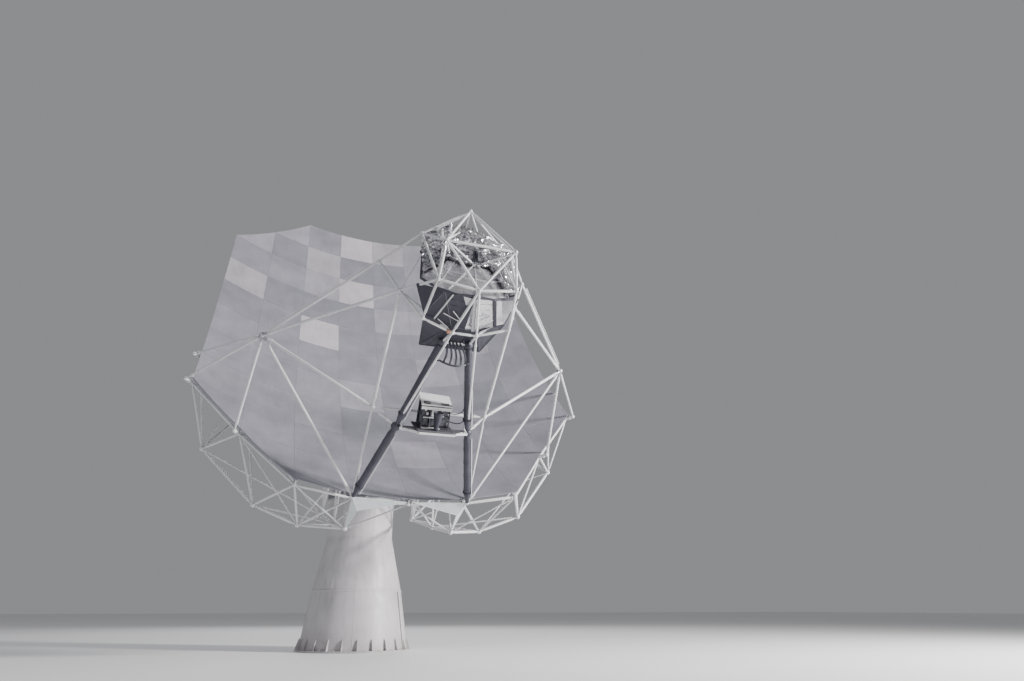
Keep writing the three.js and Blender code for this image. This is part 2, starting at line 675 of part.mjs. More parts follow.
// Cage around the secondary mirror
const CAGE_BAR_RADIUS = 45;
const CAGE_NODE_RADIUS = 100;
const MIRROR_POST_RADIUS = 36;
const CAGE_BARS = [
  ['apex', 'roof'], ['apex', 'brow'], ['roof', 'brow'], ['brow', 'cheek'], ['brow', 'nose'],
  ['cheek', 'nose'], ['roof', 'cheek'], ['roof', 'shoulder'], ['shoulder', 'hip'],
  ['cheek', 'hip'], ['cheek', 'jaw'], ['nose', 'chin'],
  ['hip', 'jaw'], ['jaw', 'chin'], ['hip', 'chin'], ['legHead', 'chin'],
];
const CAGE_CROSS_BARS = ['brow', 'chin', 'legHead'];

// Corners of the shroud's panels, right half
const SHROUD_THICKNESS = 30;
const SHROUD_EDGE_SIDES = 4;
const SHROUD_POINTS = {
  bandMiddle: v3(0, -2700, 7200),
  bandTop: v3(850, -2500, 7250),
  bandEnd: v3(1550, -1950, 7300),
  lowMiddle: v3(0, -2170, 6200),
  low: v3(400, -2150, 6250),
  lowEnd: v3(1220, -2050, 6500),
  plateMiddle: v3(0, -1000, 5460),
  plateCorner: v3(950, -1000, 5460),
};
const SHROUD_PANELS = [
  ['bandMiddle', 'bandTop', 'low', 'lowMiddle'], ['bandTop', 'bandEnd', 'lowEnd'],
  ['bandTop', 'lowEnd', 'low'],
  ['lowMiddle', 'low', 'plateCorner', 'plateMiddle'], ['low', 'lowEnd', 'plateCorner'],
];
const SHROUD_EDGES = [
  ['bandMiddle', 'bandTop'], ['bandTop', 'bandEnd'], ['bandEnd', 'lowEnd'], ['lowMiddle', 'low'],
  ['low', 'lowEnd'], ['bandTop', 'low'], ['bandTop', 'lowEnd'], ['low', 'plateCorner'],
  ['lowEnd', 'plateCorner'], ['plateMiddle', 'plateCorner'], ['bandMiddle', 'lowMiddle'],
];

// A post from a node of the cage inwards, past the mirror's back
function mirrorPost(name, side) {
  const foot = strutPoint(name, side);
  const middle = foot.clone().add(MAIN_FOCUS).multiplyScalar(0.5);
  return bar(foot, middle, MIRROR_POST_RADIUS);
}

// Every bar, block and sleeve of the cage, thickened by extra where another piece is seated
function cageBars(extra = 0) {
  const names = [...Object.keys(CAGE_POINTS), 'shoulder', 'hip', 'legHead'];
  const radius = CAGE_BAR_RADIUS + extra;
  return [-1, 1].flatMap((side) => [
    ...names.map((name) => block(strutPoint(name, side), CAGE_NODE_RADIUS + extra)),
    ...CAGE_BARS.map(([a, b]) => bar(strutPoint(a, side), strutPoint(b, side), radius)),
    ...CAGE_CROSS_BARS.map((name) => bar(strutPoint(name, 0), strutPoint(name, side), radius)),
    ...['shoulder', 'hip', 'chin'].map((name) => strutNode(name, side, extra)),
    sleeve(strutPoint('legHead', side), strutPoint('platform', side), LEG_RADIUS, LEG_HEAD_SLEEVE, extra),
  ]);
}

function cage() {
  const mirrorSeat = mirrorShell(-MIRROR_SEAT_REACH, MIRROR_THICKNESS + SEAT_GAP, MIRROR_RINGS + 1);
  const posts = join([mirrorPost('roof', -1), mirrorPost('roof', 1), mirrorPost('brow', -1),
    mirrorPost('brow', 1), mirrorPost('apex', 1)]).subtract(mirrorSeat);
  return mainBody(join([...cageBars(), posts]));
}

// Flat panels below the mirror: an upright band, and a sloping plate towards the legs
function shroud() {
  const panels = [-1, 1].flatMap((side) => {
    const at = (name) => SHROUD_POINTS[name].clone().multiply(v3(side, 1, 1));
    const plates = SHROUD_PANELS.map((names) => plate(names.map(at), SHROUD_THICKNESS));
    const edges = SHROUD_EDGES.map(([a, b]) => bar(at(a), at(b), SHROUD_THICKNESS, SHROUD_EDGE_SIDES));
    return [...plates, ...edges];
  });
  const mirrorSeat = mirrorShell(-MIRROR_SEAT_REACH, MIRROR_THICKNESS + SEAT_GAP, MIRROR_RINGS + 1);
  return cutAll(join(panels), [mirrorSeat, join(cageBars(SEAT_GAP))]);
}

// Feed platform between the legs, with the receiver cabinet and its horn
const PLATFORM_FRONT = -1120;
const PLATFORM_BACK = -220;
const PLATFORM_HALF_WIDTH = 550;
const PLATFORM_BAR_RADIUS = 50;
const PLATFORM_TIE_RADIUS = 40;
const DECK_MARGIN = 50;
const DECK_THICKNESS = 50;
const CABINET_WIDTH = 920;
const CABINET_FRONT = -860;
const CABINET_BACK = -210;
const CABINET_HEIGHT = 700;
const CABINET_TOP_FRONT = -720;
const CABINET_ROOF_RISE = 210;
const ROOF_THICKNESS = 40;
const ROOF_OVERHANG = 40;
const HORN_Y = -1030;
const HORN_RADII = [95, 165];
const HORN_HEIGHT = 560;
const HORN_WALL = 20;
const HORN_BASE = 60;
const HORN_SEGMENTS = 20;

function platformFrame() {
  const { y, z } = STRUT_POINTS.platform;
  const edge = (side, edgeY) => v3(side * PLATFORM_HALF_WIDTH, edgeY, z);
  const sides = [-1, 1].flatMap((side) => [
    bar(strutPoint('platform', side), edge(side, y), PLATFORM_BAR_RADIUS),
    bar(edge(side, PLATFORM_BACK), edge(side, PLATFORM_FRONT), PLATFORM_BAR_RADIUS),
    bar(strutPoint('platform', side), edge(side, PLATFORM_FRONT), PLATFORM_TIE_RADIUS),
    block(edge(side, PLATFORM_BACK), PLATFORM_BAR_RADIUS),
    block(edge(side, PLATFORM_FRONT), PLATFORM_BAR_RADIUS),
  ]);
  const cross = [PLATFORM_BACK, y, PLATFORM_FRONT].map((edgeY) => (
    bar(edge(-1, edgeY), edge(1, edgeY), PLATFORM_BAR_RADIUS)
  ));
  return cutAll(join([...sides, ...cross]), [leg(-1, LEG_SEAT_GAP), leg(1, LEG_SEAT_GAP)]);
}

// The bar between the elbows, the elbows' sleeves, and their ties to the legs
function elbowCrossBar() {
  const parts = [-1, 1].flatMap((side) => [
    strutNode('elbow', side),
    bar(strutPoint('platform', side), strutPoint('elbow', side), PLATFORM_BAR_RADIUS),
  ]);
  parts.push(bar(strutPoint('elbow', -1), strutPoint('elbow', 1), PLATFORM_BAR_RADIUS, STRUT_SIDES));
  return cutAll(join(parts), [leg(-1, LEG_SEAT_GAP), leg(1, LEG_SEAT_GAP)]);
}

// Frames and groups
const telescope = new THREE.Group();
const turnhead = new THREE.Group();
const dishAtAxis = new THREE.Group();
const dish = new THREE.Group();
dishAtAxis.position.set(0, -AXIS_FORWARD, AXIS_HEIGHT);
dishAtAxis.rotation.x = radians(90 - REST_ELEVATION_DEG);
dish.position.set(0, -AXIS_Y, -AXIS_Z);
dishAtAxis.add(dish);
turnhead.add(dishAtAxis);
telescope.add(turnhead);

// Pedestal
const foot = turned([[0, 0], [FOOT_RADIUS, 0], [FOOT_RADIUS, FOOT_HEIGHT], [0, FOOT_HEIGHT]]);
const lowerCone = turned([
  [0, FOOT_HEIGHT + SEAT_GAP], [LOWER_CONE_RADII[0], FOOT_HEIGHT + SEAT_GAP],
  [LOWER_CONE_RADII[1], LOWER_CONE_TOP], [0, LOWER_CONE_TOP],
]);
telescope.add(
  node('pedestal_foot', foot, PAINT),
  node('pedestal_lower_cone', lowerCone, PAINT),
  node('pedestal_upper_cone', turned([
    [0, LOWER_CONE_TOP + SEAT_GAP], [UPPER_CONE_RADII[0], LOWER_CONE_TOP + SEAT_GAP],
    [UPPER_CONE_RADII[1], UPPER_CONE_TOP], [0, UPPER_CONE_TOP],
  ]), PAINT),
  node('pedestal_neck', turned([
    [0, UPPER_CONE_TOP + SEAT_GAP], [NECK_RADIUS, UPPER_CONE_TOP + SEAT_GAP],
    [NECK_RADIUS, NECK_TOP], [0, NECK_TOP],
  ]), PAINT),
);

// Turnhead
const bearingBottom = NECK_TOP + AZIMUTH_SEAT_GAP;
const bearingTop = bearingBottom + BEARING_HEIGHT;
const drumTop = bearingTop + SEAT_GAP + DRUM_HEIGHT;
const axisPoint = v3(0, -AXIS_FORWARD, AXIS_HEIGHT);
turnhead.add(node('azimuth_bearing', turned([
  [0, bearingBottom], [BEARING_RADIUS, bearingBottom],
  [BEARING_RADIUS, bearingTop], [0, bearingTop],
]), STEEL));
turnhead.add(node('turnhead_drum', turned([
  [0, bearingTop + SEAT_GAP], [DRUM_RADIUS, bearingTop + SEAT_GAP], [DRUM_RADIUS, drumTop], [0, drumTop],
]), PAINT));

function yoke(side) {
  const front = -AXIS_FORWARD;
  const outline = [
    [-YOKE_HALF_FOOT, drumTop + SEAT_GAP], [YOKE_HALF_FOOT, drumTop + SEAT_GAP], YOKE_KNEE,
    [front + YOKE_HALF_TOP, AXIS_HEIGHT + YOKE_TOP_RISE],
    [front - YOKE_HALF_TOP, AXIS_HEIGHT + YOKE_TOP_RISE],
    [front + YOKE_BROW[0], AXIS_HEIGHT + YOKE_BROW[1]],
  ];
  const start = side > 0 ? YOKE_INNER_X : -YOKE_INNER_X - YOKE_WIDTH;
  const arm = plateAcross(outline, start, YOKE_WIDTH);
  const centreX = side * (YOKE_INNER_X + YOKE_WIDTH / 2);
  const halfHousing = YOKE_WIDTH / 2 + HOUSING_PROUD;
  const housing = bar(v3(centreX - halfHousing, axisPoint.y, axisPoint.z),
    v3(centreX + halfHousing, axisPoint.y, axisPoint.z), BEARING_HOUSING_RADIUS, 24);
  const bore = crossBar(BORE_RADIUS, 2 * TORQUE_TUBE_HALF_LENGTH, axisPoint, BORE_SIDES);
  return arm.add(housing).subtract(bore);
}
turnhead.add(node('yoke_left', yoke(-1), PAINT), node('yoke_right', yoke(1), PAINT));

// Elevation drive
const driveHousing = box(DRIVE_SIZE, v3(0, DRIVE_Y, drumTop + SEAT_GAP + DRIVE_SIZE.z / 2));
const sectorPath = crossBar(SECTOR_RADIUS + RUNNING_GAP, SECTOR_THICKNESS / 2 + RUNNING_GAP, axisPoint, 64);
turnhead.add(node('elevation_drive', driveHousing.subtract(sectorPath), STEEL));

function gearSector() {
  const shape = new THREE.Shape();
  const middle = -Math.PI / 2;
  const half = radians(SECTOR_HALF_ANGLE_DEG);
  shape.absarc(0, 0, SECTOR_RADIUS, middle - half, middle + half, false);
  shape.absarc(0, 0, SECTOR_EYE_RADIUS, middle + half, middle - half, true);
  const geometry = new THREE.ExtrudeGeometry(shape, {
    depth: SECTOR_THICKNESS, bevelEnabled: false, curveSegments: SECTOR_SEGMENTS,
  });
  geometry.applyMatrix4(OUTLINE_TO_YZ);
  geometry.translate(-SECTOR_THICKNESS / 2, AXIS_Y, AXIS_Z);
  return toSolid(geometry);
}

// Dish structure
const sideName = (side) => (side < 0 ? 'left' : 'right');
const trussSeats = [-1, 1].map((side) => mainTruss(side, SEAT_GAP));
[-1, 1].forEach((side, i) => {
  const label = sideName(side);
  dish.add(node(`main_truss_${label}`, cutAll(mainTruss(side, 0), [panelSeat]), PAINT));
  dish.add(node(`side_frame_${label}`, cutAll(sideFrame(side), [panelSeat, trussSeats[i]]), PAINT));
});
dish.add(node('centre_frame', cutAll(centreFrame(), [panelSeat, ...trussSeats]), PAINT));

const axisCentre = v3(0, AXIS_Y, AXIS_Z);
dish.add(node('elevation_torque_tube',
  crossBar(TORQUE_TUBE_RADIUS, TORQUE_TUBE_HALF_LENGTH - SEAT_GAP, axisCentre), STEEL));
dish.add(node('elevation_gear_sector',
  gearSector().subtract(crossBar(TORQUE_TUBE_RADIUS + SEAT_GAP, SECTOR_THICKNESS, axisCentre)), STEEL));

for (let column = 0; column < COLUMNS; column += 1) {
  const strip = panelStrip(column, 0, PANEL_THICKNESS, PANEL_GAP);
  dish.add(node(`reflector_column_${column + 1}`, strip, PANEL_PAINT));
}

// Struts in front of the reflector
[-1, 1].forEach((side) => {
  const label = sideName(side);
  dish.add(node(`wing_node_${label}`, strutNode('wing', side), STEEL));
  dish.add(node(`leg_${label}`, leg(side), PAINT));
  STRUTS.forEach(({ name, from, to, radius, sleeves }) => {
    const solid = strut(strutPoint(from, side), strutPoint(to, side), radius, sleeves);
    dish.add(node(`strut_${label}_${name}`, solid, PAINT));
  });
});

dish.add(node('elbow_cross_bar', elbowCrossBar(), PAINT));

// Cage and secondary mirror
dish.add(node('secondary_cage', cage(), PAINT));
dish.add(node('secondary_mirror', mirrorShell(0, MIRROR_THICKNESS), SILVER));
dish.add(node('mirror_shroud', shroud(), DARK));

// Feed platform
const deckBottom = STRUT_POINTS.platform.z + PLATFORM_BAR_RADIUS + SEAT_GAP;
const deckWidth = 2 * (PLATFORM_HALF_WIDTH + DECK_MARGIN);
const deckLength = PLATFORM_BACK - PLATFORM_FRONT + 2 * DECK_MARGIN;
const deckSize = v3(deckWidth, deckLength, DECK_THICKNESS);
const deckCentre = v3(0, (PLATFORM_BACK + PLATFORM_FRONT) / 2, deckBottom + DECK_THICKNESS / 2);
const cabinetBottom = deckBottom + DECK_THICKNESS + SEAT_GAP;
const roofBottom = cabinetBottom + CABINET_HEIGHT + SEAT_GAP;
const roofRun = CABINET_BACK - CABINET_TOP_FRONT;
const overhangRise = (ROOF_OVERHANG / roofRun) * CABINET_ROOF_RISE;
const cabinet = plateAcross([
  [CABINET_FRONT, cabinetBottom], [CABINET_BACK, cabinetBottom],
  [CABINET_BACK, cabinetBottom + CABINET_HEIGHT + CABINET_ROOF_RISE],
  [CABINET_TOP_FRONT, cabinetBottom + CABINET_HEIGHT],
], -CABINET_WIDTH / 2, CABINET_WIDTH);
const roof = plateAcross([
  [CABINET_TOP_FRONT - ROOF_OVERHANG, roofBottom - overhangRise],
  [CABINET_BACK + ROOF_OVERHANG, roofBottom + CABINET_ROOF_RISE + overhangRise],
  [CABINET_BACK + ROOF_OVERHANG, roofBottom + CABINET_ROOF_RISE + overhangRise + ROOF_THICKNESS],
  [CABINET_TOP_FRONT - ROOF_OVERHANG, roofBottom - overhangRise + ROOF_THICKNESS],
], -CABINET_WIDTH / 2 - ROOF_OVERHANG, CABINET_WIDTH + 2 * ROOF_OVERHANG);
dish.add(
  node('feed_platform_frame', platformFrame(), PAINT),
  node('feed_platform_deck', box(deckSize, deckCentre), STEEL),
  node('receiver_cabinet', cabinet, PAINT),
  node('receiver_cabinet_roof', roof, PAINT),
);
const horn = turned([
  [0, 0], [HORN_RADII[0], 0], [HORN_RADII[1], HORN_HEIGHT], [HORN_RADII[1] - HORN_WALL, HORN_HEIGHT],
  [HORN_RADII[0] - HORN_WALL, HORN_BASE], [0, HORN_BASE],
], HORN_SEGMENTS);
dish.add(node('feed_horn', horn.translate([0, HORN_Y, cabinetBottom]), SILVER));

export default telescope;
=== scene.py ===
import bpy
import random
from math import cos, exp, pi, radians, sin
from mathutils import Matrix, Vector, geometry, noise


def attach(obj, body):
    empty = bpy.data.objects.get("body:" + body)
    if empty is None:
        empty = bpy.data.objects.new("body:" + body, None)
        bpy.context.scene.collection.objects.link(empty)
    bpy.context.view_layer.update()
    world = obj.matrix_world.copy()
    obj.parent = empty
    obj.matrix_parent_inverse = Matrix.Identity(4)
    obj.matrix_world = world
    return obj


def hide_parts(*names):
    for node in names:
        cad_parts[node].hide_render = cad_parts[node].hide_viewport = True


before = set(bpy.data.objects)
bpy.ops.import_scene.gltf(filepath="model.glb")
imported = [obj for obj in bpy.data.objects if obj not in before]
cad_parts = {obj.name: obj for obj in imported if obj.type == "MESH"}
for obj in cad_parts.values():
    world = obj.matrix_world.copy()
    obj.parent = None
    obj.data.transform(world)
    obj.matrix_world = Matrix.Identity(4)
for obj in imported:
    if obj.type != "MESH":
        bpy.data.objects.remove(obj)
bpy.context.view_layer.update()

# Frames: metres, +Z up, the low side of the reflector looks towards -Y
REST_ELEVATION = radians(62.4)
SIN, COS = sin(REST_ELEVATION), cos(REST_ELEVATION)
PAIR = ((-1, "left"), (1, "right"))


def V(x=0, y=0, z=0):
    return Vector((x, y, z))


ORIGIN, ACROSS, UP, FACING_UP = V(), V(1), V(0, 0, 1), V(0, 1, 0.3)
# The elevation axis, in the row frame and in the dish's own
AXIS, AXIS_Y, AXIS_Z = V(0, -1.55, 8.6), 7.9, 0.2


def to_world(p):
    """A point of the dish's own frame, in the row frame."""
    y, z = p.y - AXIS_Y, p.z - AXIS_Z
    return V(p.x, y * SIN - z * COS + AXIS.y, y * COS + z * SIN + AXIS.z)


def flip(p, side):
    """The point itself on the right side, 1, and its mirror image on the left, -1."""
    return V(p.x * side, p.y, p.z)


# Reflector's panels, as in the part's source
ROW_EDGES = [0.6, 3.0, 4.8, 6.5, 8.1, 9.65, 10.97, 12.19, 13.35, 14.41, 15.43]
COLUMNS, FOCAL_LENGTH = 8, 7.57
WIDE_Y, COLUMN_WIDTH, TAPER, TAPER_GROWTH = 5.0, 1.8, 0.0214, 0.00051
TOP_CHORD_DEPTH, EDGE_INSET = 0.24, 0.11


def surface_normal(x, y):
    return V(-x / (2 * FOCAL_LENGTH), -y / (2 * FOCAL_LENGTH), 1).normalized()


def behind(x, y, depth=0.0):
    """A point of the reflector's surface, or at a depth behind it."""
    return V(x, y, (x * x + y * y) / (4 * FOCAL_LENGTH)) - surface_normal(x, y) * depth


def seam_x(line, y):
    up = y - WIDE_Y
    return (line - COLUMNS / 2) * (COLUMN_WIDTH - TAPER * up - TAPER_GROWTH * up * up)


def seam_rows(line):
    """The lowest and highest row edge that a seam reaches, as the corners are stepped off."""
    steps = max(2 - min(line, COLUMNS - line), 0)
    return steps, len(ROW_EDGES) - 1 - steps


def top(line, row):
    """A node of the top chords, behind a corner of panels."""
    y = ROW_EDGES[row]
    corner = V(seam_x(line, y), y)
    if line in (0, COLUMNS) or row in seam_rows(line):
        corner += (V(0, AXIS_Y) - corner).normalized() * EDGE_INSET
    return behind(corner.x, corner.y, TOP_CHORD_DEPTH)


# Meshes
SHARP, BALL_STEPS = radians(32), 8


def add_object(name, data):
    obj = bpy.data.objects.new(name, data)
    bpy.context.scene.collection.objects.link(obj)
    return obj


class Shape:
    """Collects faces, then becomes one object."""

    def __init__(self):
        self.verts, self.faces, self.smooth, self.tone = [], [], [], []

    def add(self, verts, faces, smooth=False, tone=0.5):
        start = len(self.verts)
        self.verts.extend(verts)
        self.faces.extend([tuple(i + start for i in f) for f in faces])
        self.smooth.extend([smooth] * len(faces))
        self.tone.extend([tone] * len(faces))

    def piece(self, name, material, slot, replaced=None, body="dish"):
        """One object. Points of the dish are in its own frame, and those of other bodies in the row frame."""
        mesh = bpy.data.meshes.new(name)
        mesh.from_pydata([to_world(v) for v in self.verts] if body == "dish" else self.verts, [], self.faces)
        mesh.polygons.foreach_set("use_smooth", self.smooth)
        mesh.attributes.new("tone", "FLOAT", "FACE").data.foreach_set("value", self.tone)
        mesh.materials.append(material)
        mesh.update()
        mesh.set_sharp_from_angle(angle=SHARP)
        obj = add_object(name, mesh)
        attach(obj, body)
        if replaced:
            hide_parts(replaced)
        return obj


def wrap(rows, sides, closed=False):
    """Faces between neighbouring rows of points, sides in each; closed joins the last row to the first."""
    faces = []
    for k in range(rows if closed else rows - 1):
        a, b = k * sides, (k + 1) % rows * sides
        faces += [(a + i, a + (i + 1) % sides, b + (i + 1) % sides, b + i) for i in range(sides)]
    return faces


def loft(shape, verts, sides, smooth=False, tone=0.5):
    """A form through rows of points, sides in each, closed at both ends."""
    count = len(verts)
    ends = [tuple(reversed(range(sides))), tuple(range(count - sides, count))]
    shape.add(verts, wrap(count // sides, sides) + ends, smooth, tone)


def plate(shape, grid, n, smooth, tone):
    """A thin curved plate, from the points of one layer and then of the other, n in a row."""
    layer = len(grid) // 2
    m = layer // n
    faces = []
    for j in range(m - 1):
        for i in range(n - 1):
            a = j * n + i
            quad = (a, a + 1, a + n + 1, a + n)
            # Both layers of a smooth plate are split along the same diagonal
            back = quad[:1] + quad[:0:-1] if smooth else quad[::-1]
            faces += [quad, tuple(p + layer for p in back)]
    shape.add(grid, faces, smooth, tone)
    border = list(range(n)) + [j * n + n - 1 for j in range(1, m)]
    border += [(m - 1) * n + i for i in reversed(range(n - 1))] + [j * n for j in reversed(range(1, m - 1))]
    rim = [(p, p + layer, q + layer, q) for p, q in zip(border, border[1:] + border[:1])]
    shape.add(grid, rim, False, tone)


def frame_of(direction):
    """Two directions across a line, and the one along it."""
    w = direction.normalized()
    u = (UP if abs(w.z) < 0.9 else ACROSS).cross(w).normalized()
    return u, w.cross(u), w


def circle(centre, u, v, radius, count, phase=0.0):
    angles = [2 * pi * i / count + phase for i in range(count)]
    return [centre + (u * cos(a) + v * sin(a)) * radius for a in angles]


def rings(shape, profile, origin, direction, sides=12, smooth=True, tone=0.5):
    """A turned form along a line, from (distance, radius) pairs, closed at both ends."""
    u, v, w = frame_of(direction)
    verts = [p for along, radius in profile for p in circle(origin + w * along, u, v, radius, sides)]
    shape.add(verts, wrap(len(profile), sides), smooth, tone)
    shape.add(verts[:sides], [tuple(reversed(range(sides)))], False, tone)
    shape.add(verts[-sides:], [tuple(range(sides))], False, tone)


def collar(shape, centre, axis, low, high, radius, sides=16, smooth=False):
    """A short round piece on a line, from low to high along it."""
    rings(shape, [(low, radius), (high, radius)], centre, axis, sides, smooth)


def rod(shape, a, b, radius, sides=10):
    collar(shape, a, b - a, 0, (b - a).length, radius, sides, True)


def ball(shape, centre, radius, sides=12):
    angles = [pi * i / BALL_STEPS for i in range(1, BALL_STEPS)]
    rings(shape, [(-cos(a) * radius, sin(a) * radius) for a in angles], centre, UP, sides)


def member(shape, a, b, radius, clear=0.09, sides=10, neck=0.45):
    """A tube between two nodes, with cone ends and a nut at each."""
    length, nut = (b - a).length, 0.035
    thin, thick = radius * neck, radius * neck * 1.7
    cone = min(2.2 * radius + 0.06, length * 0.2)
    end = [(clear * 0.6, thin), (clear, thin), (clear, thick), (clear + nut, thick), (clear + nut, thin),
           (clear + cone, radius)]
    rings(shape, end + [(length - along, r) for along, r in reversed(end)], a, b - a, sides)


def bolts(shape, centre, axis, ring, count, radius, height):
    u, v, w = frame_of(axis)
    for at in circle(centre, u, v, ring, count):
        collar(shape, at, w, 0, height, radius, 6)


def flange(shape, centre, axis, radius, thickness, count=8, sides=24):
    """Two bolted discs that face each other."""
    w, seam = axis.normalized(), 0.004
    for low, high, share in ((-thickness, -seam, 1), (seam, thickness, 1), (-seam, seam, 0.93)):
        collar(shape, centre, w, low, high, radius * share, sides)
    size = max(radius * 0.09, 0.011)
    for face in (w, -w):
        bolts(shape, centre + face * thickness, face, radius * 0.85, count, size, size * 1.3)


def slab(shape, corners, thickness, tone=0.5):
    """A flat plate with the given corners, half its thickness to each side."""
    half = (corners[1] - corners[0]).cross(corners[2] - corners[0]).normalized() * thickness / 2
    n = len(corners)
    faces = [tuple(range(n)), tuple(reversed(range(n, 2 * n)))]
    faces += [(i, i + n, (i + 1) % n + n, (i + 1) % n) for i in range(n)]
    shape.add([c + half for c in corners] + [c - half for c in corners], faces, False, tone)


def block(shape, centre, size, axes=None, tone=0.5, bevel=0.0):
    """A box, with bevelled edges along its third direction when asked."""
    u, v, w = axes or (ACROSS, V(0, 1), UP)
    x, y, z = (length / 2 for length in size)
    outline = [(-x + bevel, -y), (x - bevel, -y), (x, -y + bevel), (x, y - bevel),
               (x - bevel, y), (-x + bevel, y), (-x, y - bevel), (-x, -y + bevel)][::1 if bevel else 2]
    verts = [centre + u * p + v * q + w * h for h in (-z, z) for p, q in outline]
    loft(shape, verts, len(outline), False, tone)


def beam(shape, a, b, width, depth, up=UP):
    """A straight square bar from a to b."""
    w = (b - a).normalized()
    side = w.cross(up)
    if side.length < 0.05:
        side = w.cross(ACROSS)
    side.normalize()
    size = (width, depth, (b - a).length)
    block(shape, (a + b) / 2, size, (side, w.cross(side), w), bevel=min(width, depth) * 0.12)


def bent_tube(shape, points, radius, sides=8):
    """A round bar that follows points."""
    verts = []
    for k, p in enumerate(points):
        u, v, _ = frame_of(points[min(k + 1, len(points) - 1)] - points[max(k - 1, 0)])
        verts += circle(p, u, v, radius, sides)
    loft(shape, verts, sides, True)


# Materials
class Nodes:
    """Short calls that add and link shader nodes."""

    def __init__(self, name):
        self.material = bpy.data.materials.new(name)
        self.material.use_nodes = True
        self.tree = self.material.node_tree
        self.shader = self.tree.nodes["Principled BSDF"]
        self.place = self.node("TexCoord").outputs["Object"]

    def put(self, socket, value):
        """Links a socket to an input, or sets the input to a number or a colour."""
        if isinstance(value, bpy.types.NodeSocket):
            self.tree.links.new(value, socket)
        elif isinstance(value, tuple) and len(socket.default_value) == 4:
            socket.default_value = (*value, 1)
        else:
            socket.default_value = value

    def node(self, kind, **inputs):
        made = self.tree.nodes.new("ShaderNode" + kind)
        for name, value in inputs.items():
            self.put(made.inputs[name], value)
        return made

    def noise(self, scale, detail=4.0, rough=0.55, stretch=(1, 1, 1), distortion=0.0):
        place = self.node("Mapping", Vector=self.place, Scale=stretch).outputs["Vector"]
        return self.node("TexNoise", Vector=place, Scale=scale, Detail=detail, Roughness=rough,
                         Distortion=distortion).outputs["Fac"]

    def ramp(self, value, *stops):
        made = self.node("ValToRGB", Fac=value)
        elements = made.color_ramp.elements
        while len(elements) < len(stops):
            elements.new(0.5)
        for element, (position, colour) in zip(elements, stops):
            element.position = position
            element.color = (*colour, 1) if isinstance(colour, tuple) else (colour, colour, colour, 1)
        return made.outputs["Color"]

    def mix(self, factor, a, b, mode="MIX"):
        made = self.node("Mix")
        made.data_type = "RGBA"
        made.blend_type = mode
        for index, value in ((0, factor), (6, a), (7, b)):
            self.put(made.inputs[index], value)
        return made.outputs[2]

    def patches(self, colour, tint, low, high, amount, *pattern):
        """Lays a tint over a colour where noise is above low, up to an amount at high."""
        return self.mix(self.ramp(self.noise(*pattern), (low, 0.0), (high, amount)), colour, tint)

    def toned(self, factor, colour, dark, light):
        """Each face's own tone, from dark to light."""
        made = self.node("Attribute")
        made.attribute_name = "tone"
        return self.mix(factor, colour, self.ramp(made.outputs["Fac"], (0.0, dark), (1.0, light)), "OVERLAY")

    def bump(self, height, strength, distance):
        made = self.node("Bump", Height=height, Strength=strength, Distance=distance)
        self.put(self.shader.inputs["Normal"], made.outputs["Normal"])

    def finish(self, colour, roughness, metallic=0.0):
        for name, value in (("Base Color", colour), ("Roughness", roughness), ("Metallic", metallic)):
            self.put(self.shader.inputs[name], value)
        return self.material


def paint(name, light, dark, rough=(0.35, 0.6), dirt=(0.30, 0.28, 0.26), amount=0.35, metallic=0.0,
          patch=1.2):
    """Weathered paint: broad patches, fine specks, dust and a faint orange peel."""
    n = Nodes(name)
    colour = n.toned(0.5, n.ramp(n.noise(patch, 5), (0.3, dark), (0.7, light)), 0.25, 0.75)
    colour = n.patches(colour, dirt, 0.52, 0.78, amount, 5.5, 8, 0.7)
    colour = n.patches(colour, tuple(c * 0.8 for c in dirt), 0.66, 0.72, 0.25, 60, 2)
    n.bump(n.noise(90, 2), 0.12, 0.002)
    return n.finish(colour, n.ramp(n.noise(9, 5), (0.3, rough[0]), (0.75, rough[1])), metallic)


def streaked_paint(name, light, dark):
    """Paint on the pedestal, with rain streaks, tone bands and a dusty foot."""
    n = Nodes(name)
    colour = n.toned(0.4, n.ramp(n.noise(0.7, 5), (0.3, dark), (0.7, light)), 0.3, 0.7)
    colour = n.patches(colour, (0.27, 0.25, 0.25), 0.5, 0.75, 0.42, 6.0, 6, 0.6, (1, 1, 0.07))
    height = n.node("SeparateXYZ", Vector=n.place).outputs["Z"]
    dust = n.ramp(n.noise(2.4, 6, 0.7), (0.35, 0.15), (0.7, 1.0))
    splash = n.mix(1.0, n.ramp(height, (0.0, 0.55), (1.0, 0.0)), dust, "MULTIPLY")
    colour = n.mix(splash, colour, (0.25, 0.21, 0.18))
    colour = n.patches(colour, (0.24, 0.12, 0.07), 0.69, 0.8, 0.4, 3.2, 8, 0.75, (1, 1, 0.3))
    n.bump(n.noise(1.5, 3, 0.5, (1, 1, 0.4)), 0.25, 0.02)
    return n.finish(colour, n.ramp(n.noise(4, 6), (0.3, 0.38), (0.75, 0.62)))


